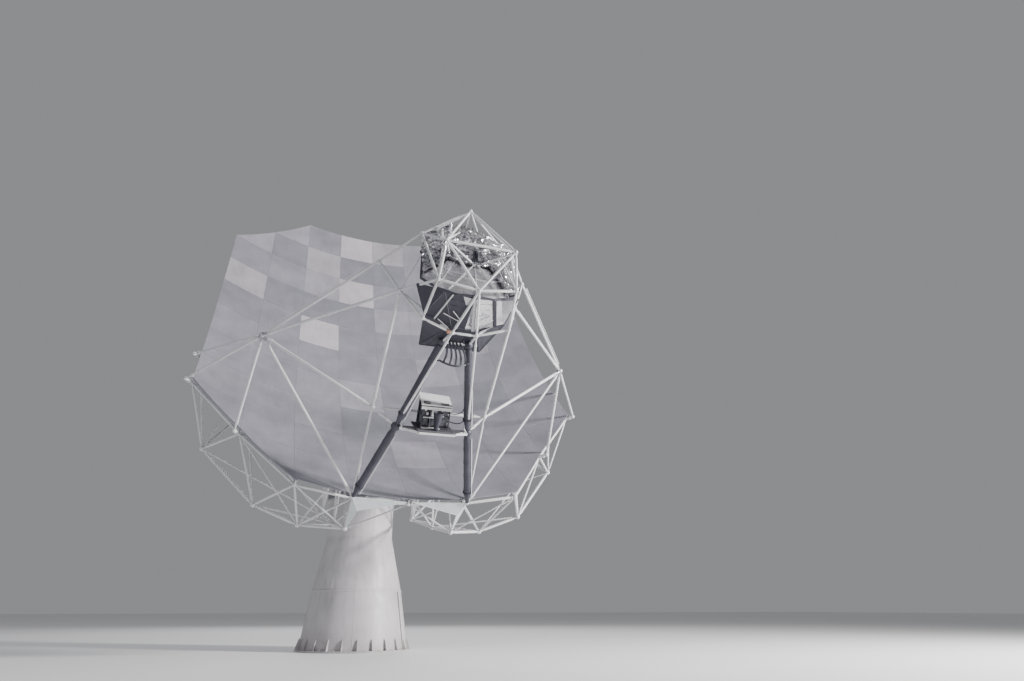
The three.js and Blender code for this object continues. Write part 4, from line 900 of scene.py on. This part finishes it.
def foil_fold(share, turn, along):
    """Crumpled round the middle, and hanging in radial folds further out."""
    p = mirror_point(share, turn)
    bent = p + V(*(noise.noise(p * 1.7 + shift) for shift in (V(), V(9), V(0, 9)))) * 0.35
    crumple = crease(bent * 2.2, 0.5, 0.22) + crease(bent * 4.9, 0.4, 0.13)
    q = V(cos(radians(turn)) * 6, sin(radians(turn)) * 6, share * 2.0)
    drape = crease(q, 0.5, 0.24) + crease(q * 2.1 + V(4), 0.4, 0.12)
    hem = 0.11 * exp(-((1 - along) / 0.07) ** 2) * (0.4 + abs(noise.noise(p * 3)) * 1.5)
    flat = smooth_step((1 - along) / 0.03)
    mixed = crumple + (drape - crumple) * smooth_step((share - 0.4) / 0.3)
    return mixed * (0.25 + 0.75 * flat) + hem * flat


near, far = [], []
for j in range(ROWS + 1):
    along = FOIL_HOLE + (1 - FOIL_HOLE) * j / ROWS
    rows = [], []
    for i in range(COLS):
        turn = -180 + 360 * i / COLS
        share = foil_reach(turn) * along
        base = FOIL_BASE + foil_fold(share, turn, along)
        rows[0].append(mirror_point(share, turn, base))
        rows[1].append(mirror_point(share, turn, base + FOIL_THICKNESS))
    near, far = rows[0] + near, far + rows[1]
foil = Shape()
faces, layer = wrap(2 * (ROWS + 1), COLS, True), len(near)
# The near layer's faces start at another corner, so that both layers are split along the same diagonal
foil.add(far + near, faces[:layer] + [f[1:] + f[:1] for f in faces[layer:-COLS]] + faces[-COLS:])
cover = foil.piece("mirror_foil_cover", FOIL, "mirror_metal")

# Fittings at the left upper corner of the cage
fittings, rusty = Shape(), Shape()
corner = point("brow", -1)
for offset, towards, length, radius in (
        (V(-0.14, 0.02, 0.06), V(-0.3, -0.4, 1), 0.26, 0.05),
        (V(0.02, 0.12, 0.16), V(0.2, -1, 0.4), 0.22, 0.065),
        (V(-0.2, 0.16, 0.2), V(-1, 0, 0.4), 0.18, 0.05),
        (V(-0.06, -0.06, -0.12), V(0.1, -0.2, -1), 0.2, 0.045),
        (V(0.1, 0.2, 0.3), V(0, 0.2, 1), 0.2, 0.04)):
    at = corner + offset
    profile = ((0, 1), (0.6, 1), (0.6, 1.25), (0.7, 1.25), (0.7, 0.7), (1, 0.7))
    rings(fittings, [(length * f, radius * r) for f, r in profile], at, towards, 20, False)
    rod(fittings, corner, at, 0.02, 8)
    block(fittings, at, (radius * 2.6, radius * 2.2, radius * 1.6), bevel=0.01)
fittings.piece("cage_fittings", STEEL, "node_steel")
for side, name, share in ((-1, "jaw", 0.14), (1, "hip", 0.3)):
    a, b = point("chin", side), point(name, side)
    at = a.lerp(b, share)
    collar(rusty, at, b - a, -0.06, 0.06, 0.052)
    block(rusty, at + V(0, -0.05, -0.03), (0.1, 0.06, 0.08), bevel=0.01)
rusty.piece("cage_clamps", RUST, "node_steel")

# Feed platform
PLATFORM_Z, DECK_Z, MARGIN = 2.75, 2.825, 0.05
FRONT, BACK, HALF, JOISTS, JOIST_INSET = -1.12, -0.22, 0.55, 5, 0.1
platform, deck = Shape(), Shape()
for side in (-1, 1):
    end = point("platform", side)
    back, middle, front = [V(side * HALF, y, PLATFORM_Z) for y in (BACK, end.y, FRONT)]
    beam(platform, end, middle, 0.09, 0.09)
    beam(platform, back, front, 0.09, 0.09)
    beam(platform, end, front, 0.06, 0.07)
    slab(deck, [p + V(0, 0, 0.05) for p in (end, middle, front)], 0.01)
    bolts(platform, end.lerp(middle, 0.35) + V(0, 0, 0.045), UP, 0.03, 4, 0.012, 0.014)
    for a, b in ((V(0.98, -0.66, 0.16), V(1.08, -0.86, 0)), (V(1.08, -0.86, 0), V(0.62, -1.12, 0.03))):
        a, b = [flip(p, side) + UP * PLATFORM_Z for p in (a, b)]
        beam(platform, a, b, 0.035, 0.05)
for y in (BACK, POINTS["platform"].y, FRONT):
    beam(platform, V(-HALF, y, PLATFORM_Z), V(HALF, y, PLATFORM_Z), 0.09, 0.07)
for i in range(JOISTS):
    x = (HALF - JOIST_INSET) * (2 * i / (JOISTS - 1) - 1)
    beam(platform, V(x, BACK, PLATFORM_Z - 0.02), V(x, FRONT, PLATFORM_Z - 0.02), 0.04, 0.05)
platform.piece("platform_beams", TUBE, "tube_paint", "feed_platform_frame")
LONG, CROSS, REACH, INSET = 30, 12, HALF + MARGIN, 0.01
for i in range(LONG + 1):
    x = (REACH - INSET) * (2 * i / LONG - 1)
    beam(deck, V(x, BACK + MARGIN, DECK_Z), V(x, FRONT - MARGIN, DECK_Z), 0.008, 0.045, ACROSS)
for i in range(CROSS + 1):
    y = BACK + MARGIN - INSET - i * (BACK - FRONT + 2 * (MARGIN - INSET)) / CROSS
    beam(deck, V(-REACH, y, DECK_Z), V(REACH, y, DECK_Z), 0.01 if 0 < i < CROSS else 0.02, 0.05)
deck.piece("platform_grating", GRATING, "node_steel", "feed_platform_deck")

# Receiver cabinet: an open frame with equipment boxes on shelves
CAB_HALF, CAB_FRONT, CAB_BACK, CAB_TOP_FRONT = 0.46, -0.86, -0.21, -0.72
CAB_LOW, CAB_HEIGHT, CAB_RISE, VENTS = 2.852, 0.70, 0.21, 5
posts, inner, pale = Shape(), Shape(), Shape()


def cab(x, depth, height):
    """A place in the cabinet: x across, depth 0 at the front and 1 at the back, height 0 to 1."""
    front = CAB_FRONT + (CAB_TOP_FRONT - CAB_FRONT) * height
    z = CAB_LOW + (CAB_HEIGHT + CAB_RISE * depth) * height
    return V(x * CAB_HALF, front + (CAB_BACK - front) * depth, z)


for depth in (0.04, 0.96):
    for x in (-0.95, -0.4, 0.25, 0.95):
        beam(posts, cab(x, depth, 0), cab(x, depth, 0.985), 0.045, 0.045, V(0, 1))
for height in (0.03, 0.45, 0.965):
    for depth in (0.04, 0.96):
        beam(posts, cab(-0.97, depth, height), cab(0.97, depth, height), 0.04, 0.04)
    for x in (-0.95, 0.95):
        beam(posts, cab(x, 0.04, height), cab(x, 0.96, height), 0.035, 0.035)
# Equipment boxes with ventilation strips: place across, width, low and high edge, tone
for x, width, low, high, tone in (
        (-0.68, 0.4, 0.08, 0.42, 0.5), (-0.08, 0.46, 0.08, 0.4, 0.3), (0.6, 0.5, 0.1, 0.43, 0.5),
        (-0.68, 0.42, 0.5, 0.9, 0.4), (-0.08, 0.44, 0.5, 0.82, 0.6), (0.6, 0.52, 0.5, 0.88, 0.4)):
    a, b = cab(x, 0.12, low), cab(x, 0.86, high)
    block(inner, (a + b) / 2, (width * CAB_HALF, b.y - a.y, b.z - a.z), None, tone, 0.012)
    for k in range(VENTS):
        z = a.z + (b.z - a.z) * (k + 1) / (VENTS + 1)
        beam(inner, V(a.x - width * 0.2, a.y - 0.006, z), V(a.x + width * 0.2, a.y - 0.006, z), 0.008, 0.01)
slab(posts, [cab(x, 0.97, h) for x, h in ((-0.92, 0.05), (0.92, 0.05), (0.92, 0.95), (-0.92, 0.95))], 0.012)
slab(pale, [cab(x, 0.06, h) for x, h in ((-0.3, 0.5), (0.12, 0.5), (0.12, 0.86), (-0.3, 0.86))], 0.02, 0.7)
slab(pale, [cab(x, d, 0.02) for x, d in ((-0.98, -0.12), (0.3, -0.12), (0.3, 0.1), (-0.98, 0.1))], 0.03)
beam(pale, cab(-0.9, 0.0, 0.46), cab(0.1, 0.0, 0.46), 0.02, 0.03)
for x, height, size in ((-0.62, 0.6, 0.07), (-0.5, 0.82, 0.05), (0.3, 0.62, 0.06), (0.42, 0.78, 0.05),
                        (0.5, 0.55, 0.05), (-0.75, 0.75, 0.05)):
    profile = ((0, 0.5), (1, 0.5), (1, 0.35), (1.5, 0.35))
    rings(pale, [(size * f, size * r) for f, r in profile], cab(x, 0.08, height), V(0, -1, 0.1), 14, False)
posts.piece("cabinet_frame", DARK, "cabinet_paint", "receiver_cabinet")
inner.piece("cabinet_equipment", EQUIPMENT, "cabinet_paint")
pale.piece("cabinet_pale_parts", CABINET, "cabinet_paint")

# Two short cables from the cabinet's right side, which sag and climb to the right leg
DOWN, CABLE, GLAND, CABLE_STEPS = V(0, -COS, -SIN), 0.03, 0.07, 24


def curve(a, b, c, d, t):
    """A place on a smooth curve from a to d, which leaves towards b and arrives from c."""
    return a * (1 - t) ** 3 + b * (3 * t * (1 - t) ** 2) + c * (3 * t * t * (1 - t)) + d * t ** 3


for label, depth, height, climb in (("upper", 0.35, 0.60, 0.295), ("lower", 0.45, 0.24, 0.155)):
    wall = cab(0.97, depth, height)
    leg_axis = point("platform", 1).lerp(point("legHead", 1), climb)
    leg_side = leg_axis + (wall - leg_axis).normalized() * LEG_RADIUS
    gland, cable = Shape(), Shape()
    rings(gland, [(0, 0.034), (0.02, 0.034), (0.02, 0.024), (GLAND, 0.016)], wall, ACROSS, 16, False)
    gland.piece(f"cable_gland_{label}", DARK, "cabinet_paint")
    start = wall + V(GLAND)
    bends = start, start + V(0.16) + DOWN * 0.04, leg_side + DOWN * 0.2 - V(0.08), leg_side
    line = [curve(*bends, k / CABLE_STEPS) for k in range(CABLE_STEPS + 1)]
    bent_tube(cable, line, CABLE / 2, 12)
    cord = cable.piece(f"cabinet_cable_{label}", DARK, "cabinet_paint")

roof = Shape()
ROOF_LOW, RUN, OVERHANG = CAB_LOW + CAB_HEIGHT + 0.0003, CAB_BACK - CAB_TOP_FRONT, 0.04


def roof_at(x, f, lift=0.0):
    """A place on the roof: x across, f from 0 at the front edge to 1 at the back."""
    y = CAB_TOP_FRONT - OVERHANG + (RUN + 2 * OVERHANG) * f
    return V(x * (CAB_HALF + OVERHANG), y, ROOF_LOW + (y - CAB_TOP_FRONT) / RUN * CAB_RISE + lift)


# The sheet is folded from its back left corner to its front right one
roof.add([roof_at(-1, 0, 0.002), roof_at(1, 0, 0.002), roof_at(1, 1, -0.03), roof_at(-1, 1, 0.002),
          roof_at(-1, 0, 0.02), roof_at(1, 0, 0.03), roof_at(1, 1, -0.012), roof_at(-1, 1, 0.04)],
         [(3, 1, 0), (3, 2, 1), (0, 1, 5, 4), (1, 2, 6, 5), (3, 0, 4, 7), (2, 3, 7, 6), (4, 5, 7), (5, 6, 7)],
         False, 0.6)
edge = ((-0.98, -0.03), (0.98, -0.03), (0.98, -0.12), (-0.98, -0.12))
slab(roof, [roof_at(x, 0, lift) for x, lift in edge], 0.012, 0.6)
beam(roof, roof_at(-0.98, 0.01, 0.02), roof_at(0.98, 0.01, 0.02), 0.03, 0.036)
for x in (-0.8, -0.4, 0, 0.4, 0.8):
    collar(roof, roof_at(x, 0.02, 0.045), V(0, -0.4, 1), 0, 0.01, 0.008, 6)
roof.piece("cabinet_roof", CABINET, "cabinet_paint", "receiver_cabinet_roof")

# Feed horn, corrugated outside and open at the top
HORN, HORN_HEIGHT, CORRUGATIONS, PITCH = V(0, -1.03, 2.852), 0.56, 10, 0.046
horn = Shape()
outline = [(0.0, 0.095), (0.02, 0.095), (0.02, 0.075), (0.1, 0.075)]
for k in range(CORRUGATIONS):
    z, r = 0.1 + k * PITCH, 0.078 + 0.085 * k / (CORRUGATIONS - 1)
    outline += [(z, r), (z + PITCH / 2, r + 0.001), (z + PITCH / 2, r - 0.006), (z + PITCH, r - 0.003)]
outline += [(HORN_HEIGHT, 0.164), (HORN_HEIGHT, 0.15), (0.12, 0.062), (0.1, 0.02)]
rings(horn, outline, HORN, UP, 40, False)
bolts(horn, HORN + V(0, 0, 0.02), UP, 0.085, 8, 0.006, 0.008)
horn.piece("horn_corrugated", DARK, "mirror_metal", "feed_horn")

# Torque tube and gear sector
TUBE_HALF, TUBE_RADIUS = 1.7297, 0.25
tube = Shape()
axis = V(0, AXIS_Y, AXIS_Z)
collar(tube, axis, ACROSS, -TUBE_HALF, TUBE_HALF, TUBE_RADIUS, 64, True)
for x in (-1.3, -0.45, 0.45, 1.3):
    collar(tube, axis + V(x), ACROSS, -0.03, 0.03, 0.262, 64)
tube.piece("torque_tube_turned", MACHINE, "machinery_steel", "elevation_torque_tube")

TEETH, SECTOR_R, SECTOR_HALF, SECTOR_WIDTH, WEBS, SPOKES = 66, 1.25, 42, 0.12, 16, 5
TOOTH_DEPTH, RIM_RADIUS, WEB_RADIUS, BORE = 0.03, 1.12, 1.13, 0.251
TOOTH = [SECTOR_R - TOOTH_DEPTH * low for low in (1, 0, 0, 1, 1)]
sector = Shape()


def on_sector(radius, share, inset=0):
    """A point of the gear sector: share is 0 at one end of its arc and 1 at the other."""
    a = radians(-90 + (SECTOR_HALF - inset) * (2 * share - 1))
    return axis + V(0, radius * cos(a), radius * sin(a))


def extrude(outline, width):
    loft(sector, [p + V(x) for x in (-width / 2, width / 2) for p in outline], len(outline))


for k in range(TEETH):
    tooth = [on_sector(r, (k + j / 4) / TEETH) for j, r in enumerate(TOOTH)]
    extrude(tooth + [on_sector(RIM_RADIUS, (k + j) / TEETH) for j in (1, 0)], SECTOR_WIDTH)
for k in range(WEBS):
    corners = ((WEB_RADIUS, k), (WEB_RADIUS, k + 1), (BORE, k + 1), (BORE, k))
    extrude([on_sector(r, n / WEBS) for r, n in corners], 0.04)
for k in range(SPOKES):
    a, b = [on_sector(r, k / (SPOKES - 1), 2) for r in (0.26, WEB_RADIUS)]
    beam(sector, a, b, 0.11, 0.05, ACROSS.cross(b - a))
sector.piece("gear_sector_teeth", MACHINE, "machinery_steel", "elevation_gear_sector")

# Pedestal
ROUND, FOOT_GUSSETS = 96, 24


def radial(turn):
    """The direction away from the azimuth axis, at a share of a turn round it."""
    return V(cos(2 * pi * turn), sin(2 * pi * turn))


def turned(profile, tone, smooth=True):
    """A form round the azimuth axis, from (radius, height) pairs."""
    shape = Shape()
    rings(shape, [(z, r) for r, z in profile], ORIGIN, UP, ROUND, smooth, tone)
    return shape


def hoop(shape, *profile):
    """A raised band round the azimuth axis, from (height, radius) pairs."""
    rings(shape, profile, ORIGIN, UP, ROUND, False)


def weld_seams(shape, low, high, count, phase):
    """Upright weld beads where the rolled plates of a cone meet, from (radius, height) low to high."""
    for a, b in zip(*(circle(UP * z, ACROSS, V(0, 1), r, count, phase) for r, z in (low, high))):
        rod(shape, a, b, 0.008, 6)


def boss_block(shape, u, reach, height, size, tone=0.5):
    """A block on the outside of a turned form."""
    block(shape, u * reach + UP * height, size, (u, V(-u.y, u.x), UP), tone)


foot = turned([(0.2, 0), (2.3, 0), (2.3, 0.066), (2.296, 0.07), (0.2, 0.07)], 0.45, False)
bolts(foot, UP * 0.069, UP, 2.24, 48, 0.022, 0.05)
for i in range(FOOT_GUSSETS):
    u = radial((i + 0.5) / FOOT_GUSSETS)
    slab(foot, [u * r + UP * z for r, z in ((2.13, 0.07), (2.28, 0.07), (2.16, 0.42), (2.085, 0.5))], 0.02)
foot.piece("foot_ring", PEDESTAL, "pedestal_paint", "pedestal_foot", "pedestal")

cone = turned([(2.0, 0.0703), (2.15, 0.0703), (2.09, 0.45), (1.975, 1.2), (1.8, 2.2995), (1.6, 2.2995)], 0.42)
weld_seams(cone, (2.148, 0.09), (1.803, 2.28), 6, 0.3)
hoop(cone, (2.21, 1.815), (2.215, 1.828), (2.292, 1.818), (2.2995, 1.80))
u = radial(-38 / 360)
beam(cone, u * 2.17 + UP * 0.1, u * 1.845 + UP * 2.25, 0.05, 0.03, u)
cone.piece("cone_lower_shell", PEDESTAL, "pedestal_paint", "pedestal_lower_cone", "pedestal")

cone = turned([(1.6, 2.3005), (1.785, 2.3005), (1.675, 2.8), (1.508, 3.55), (1.34, 4.2995),
               (1.2, 4.2995)], 0.55)
weld_seams(cone, (1.783, 2.32), (1.343, 4.22), 6, 0.8)
hoop(cone, (4.22, 1.343), (4.225, 1.352), (4.292, 1.345), (4.2995, 1.33))
cone.piece("cone_upper_shell", PEDESTAL, "pedestal_paint", "pedestal_upper_cone", "pedestal")

neck = turned([(1.2, 4.3005), (1.33, 4.3005), (1.33, 5.8995), (1.2, 5.8995)], 0.6)
weld_seams(neck, (1.33, 4.4), (1.33, 5.74), 3, 0.1)
hoop(neck, (4.301, 1.332), (4.302, 1.345), (4.35, 1.345), (4.355, 1.332))
hoop(neck, (5.78, 1.335), (5.8, 1.395), (5.899, 1.395), (5.8995, 1.33))
bolts(neck, UP * 5.798, -UP, 1.37, 60, 0.012, 0.02)
neck.piece("neck_shell", PEDESTAL, "pedestal_paint", "pedestal_neck", "pedestal")

# Turnhead
DRUM_TOP, BEARING_BLOCKS, HATCH_Z = 6.9606, 120, 6.58
bearing = turned([(1.1, 5.9003), (1.41, 5.9003), (1.42, 5.915), (1.42, 5.94), (1.39, 5.95), (1.39, 6.11),
                  (1.42, 6.12), (1.42, 6.155), (1.40, 6.16), (1.1, 6.16)], 0.5, False)
bolts(bearing, UP * 6.155, UP, 1.375, 60, 0.016, 0.022)
for i in range(BEARING_BLOCKS):
    boss_block(bearing, radial(i / BEARING_BLOCKS), 1.405, 6.03, (0.03, 0.035, 0.16))
bearing.piece("bearing_ring", MACHINE, "machinery_steel", "azimuth_bearing", "turnhead")

drum = turned([(1.0, 6.161), (1.3, 6.161), (1.3, DRUM_TOP - 0.02), (1.285, DRUM_TOP), (0.2, DRUM_TOP)], 0.5)
hoop(drum, (6.162, 1.30), (6.165, 1.37), (6.2, 1.37), (6.22, 1.305))
bolts(drum, UP * 6.2, UP, 1.345, 48, 0.013, 0.02)
for sixth in (1, 2, 4, 5):
    u = radial(sixth / 6)
    boss_block(drum, u, 1.295, HATCH_Z, (0.03, 0.42, 0.36), 0.4)
    bolts(drum, u * 1.31 + UP * HATCH_Z, u, 0.21, 10, 0.01, 0.012)
drum.piece("drum_shell", PEDESTAL, "pedestal_paint", "turnhead_drum", "turnhead")

YOKE_IN, YOKE_WIDTH, YOKE_PLATE, YOKE_BORE, HOUSING_SIDES = 0.9, 0.28, 0.03, 0.252, 64
OUTLINE = [(-0.9, DRUM_TOP + 0.0004), (0.9, DRUM_TOP + 0.0004), (0.25, 7.7), (AXIS.y + 0.3, AXIS.z + 0.42),
           (AXIS.y - 0.3, AXIS.z + 0.42), (AXIS.y - 0.42, AXIS.z - 0.25)]
BEARING = [(-0.2, 0.27), (-0.2, 0.40), (-0.17, 0.43), (0.17, 0.43), (0.2, 0.40), (0.2, 0.27),
           (0.2, YOKE_BORE), (-0.2, YOKE_BORE)]
for side, label in PAIR:
    arm = Shape()
    inner_x, outer_x = side * YOKE_IN, side * (YOKE_IN + YOKE_WIDTH)
    middle = sum((V(0, y, z) for y, z in OUTLINE), V()) / len(OUTLINE)
    # Side plates, each with a round hole
    for x in (inner_x + side * YOKE_PLATE / 2, outer_x - side * YOKE_PLATE / 2):
        ring, hole = [V(x, y, z) for y, z in OUTLINE], circle(AXIS + V(x), V(0, 1), UP, YOKE_BORE, 48)
        triangles = geometry.tessellate_polygon([[V(p.y, p.z) for p in loop] for loop in (ring, hole)])
        count, size = len(ring), len(ring) + len(hole)
        verts = [p + V(offset) for offset in (-YOKE_PLATE / 2, YOKE_PLATE / 2) for p in ring + hole]
        faces = [tuple(t) for t in triangles] + [tuple(i + size for i in reversed(t)) for t in triangles]
        for low, high in ((0, count), (count, size)):
            for i in range(low, high):
                j = i + 1 if i + 1 < high else low
                faces.append((i, j, j + size, i + size))
        arm.add(verts, faces)
    for (y0, z0), (y1, z1) in zip(OUTLINE, OUTLINE[1:] + OUTLINE[:1]):
        inward = (middle - V(0, (y0 + y1) / 2, (z0 + z1) / 2)).normalized() * 0.02
        slab(arm, [V(inner_x, y0, z0) + inward, V(inner_x, y1, z1) + inward,
                   V(outer_x, y1, z1) + inward, V(outer_x, y0, z0) + inward], 0.024)
    # Bearing housing round the torque tube
    housing = AXIS + V(side * (YOKE_IN + YOKE_WIDTH / 2))
    around = [2 * pi * k / HOUSING_SIDES for k in range(HOUSING_SIDES)]
    arm.add([housing + V(x, r * cos(a), r * sin(a)) for a in around for x, r in BEARING],
            wrap(HOUSING_SIDES, len(BEARING), True))
    for w in (-1, 1):
        bolts(arm, housing + V(w * 0.2), V(w), 0.34, 16, 0.018, 0.02)
    x = outer_x - side * 0.004
    for y, z in ((-0.4, 7.25), (-0.75, 7.75)):
        beam(arm, V(x, y - 0.35, z), V(x, y + 0.6, z), 0.03, 0.06)
    arm.piece(f"yoke_plates_{label}", PEDESTAL, "pedestal_paint", f"yoke_{label}", "turnhead")

# Elevation drive: two finned motors on a bolted base
DRIVE_LOW, DRIVE_Y, MOTOR_X, FINS = DRUM_TOP + 0.001, -0.35, 0.2, 7
drive = Shape()
for side in (-1, 1):
    block(drive, V(side * MOTOR_X, DRIVE_Y, DRIVE_LOW + 0.31), (0.22, 0.66, 0.60), bevel=0.03)
    at, out = V(side * MOTOR_X, -0.2, DRIVE_LOW + 0.4), V(0, -1)
    rings(drive, [(0, 0.13), (0.02, 0.15), (0.25, 0.15), (0.27, 0.12)], at, out, 32, False)
    for k in range(FINS):
        collar(drive, at, out, 0.03 + k * 0.03, 0.04 + k * 0.03, 0.165, 32)
block(drive, V(0, DRIVE_Y, DRIVE_LOW + 0.03), (0.62, 0.68, 0.06), None, 0.45, 0.01)
bolts(drive, V(0, DRIVE_Y, DRIVE_LOW + 0.06), UP, 0.27, 10, 0.014, 0.02)
drive.piece("drive_housing", MACHINE, "machinery_steel", "elevation_drive", "turnhead")

# Floor, light and camera
FLOOR_HALF = 200
floor_shape = bpy.data.meshes.new("floor")
floor_corners = [(x * FLOOR_HALF, y * FLOOR_HALF, 0) for x, y in ((-1, -1), (1, -1), (1, 1), (-1, 1))]
floor_shape.from_pydata(floor_corners, [], [(0, 1, 2, 3)])
floor = add_object("floor", floor_shape)
pale_floor = Nodes("floor_pale")
floor_shape.materials.append(pale_floor.finish(
    pale_floor.ramp(pale_floor.noise(0.05, 3), (0.3, 0.80), (0.7, 0.84)), 0.9))

world = bpy.data.worlds.new("studio")
world.use_nodes = True
background = world.node_tree.nodes["Background"]
background.inputs["Color"].default_value = (0.86, 0.87, 0.90, 1)
background.inputs["Strength"].default_value = 0.32
bpy.context.scene.world = world


def area_light(name, at, aim, size, power, colour):
    data = bpy.data.lights.new(name, "AREA")
    data.shape = "DISK"
    data.size = size
    data.energy = power
    data.color = colour
    obj = add_object(name, data)
    obj.location = at
    obj.rotation_euler = (Vector(aim) - Vector(at)).to_track_quat("-Z", "Y").to_euler()


area_light("key", (32, -28, 16), (0, -5, 10), 5, 36000, (1.0, 0.97, 0.96))
area_light("fill", (-34, -26, 18), (0, -2, 9), 22, 2500, (0.90, 0.93, 1.0))
area_light("back", (8, 34, 26), (0, 0, 9), 16, 6000, (0.95, 0.96, 1.0))

LENS_MM, SENSOR_MM, EYE_HEIGHT = 27.1, 36.0, 1.65
CAMERA_YAW, CAMERA_PITCH = radians(22.2), radians(19.07)
camera_data = bpy.data.cameras.new("camera")
camera_data.lens = LENS_MM
camera_data.sensor_width = SENSOR_MM
camera_data.sensor_fit = "HORIZONTAL"
camera_data.clip_end = 1000
camera = add_object("camera", camera_data)
camera.location = (-6.673, -33.27, EYE_HEIGHT)
camera.rotation_euler = (pi / 2 + CAMERA_PITCH, 0, -CAMERA_YAW)
bpy.context.scene.camera = camera
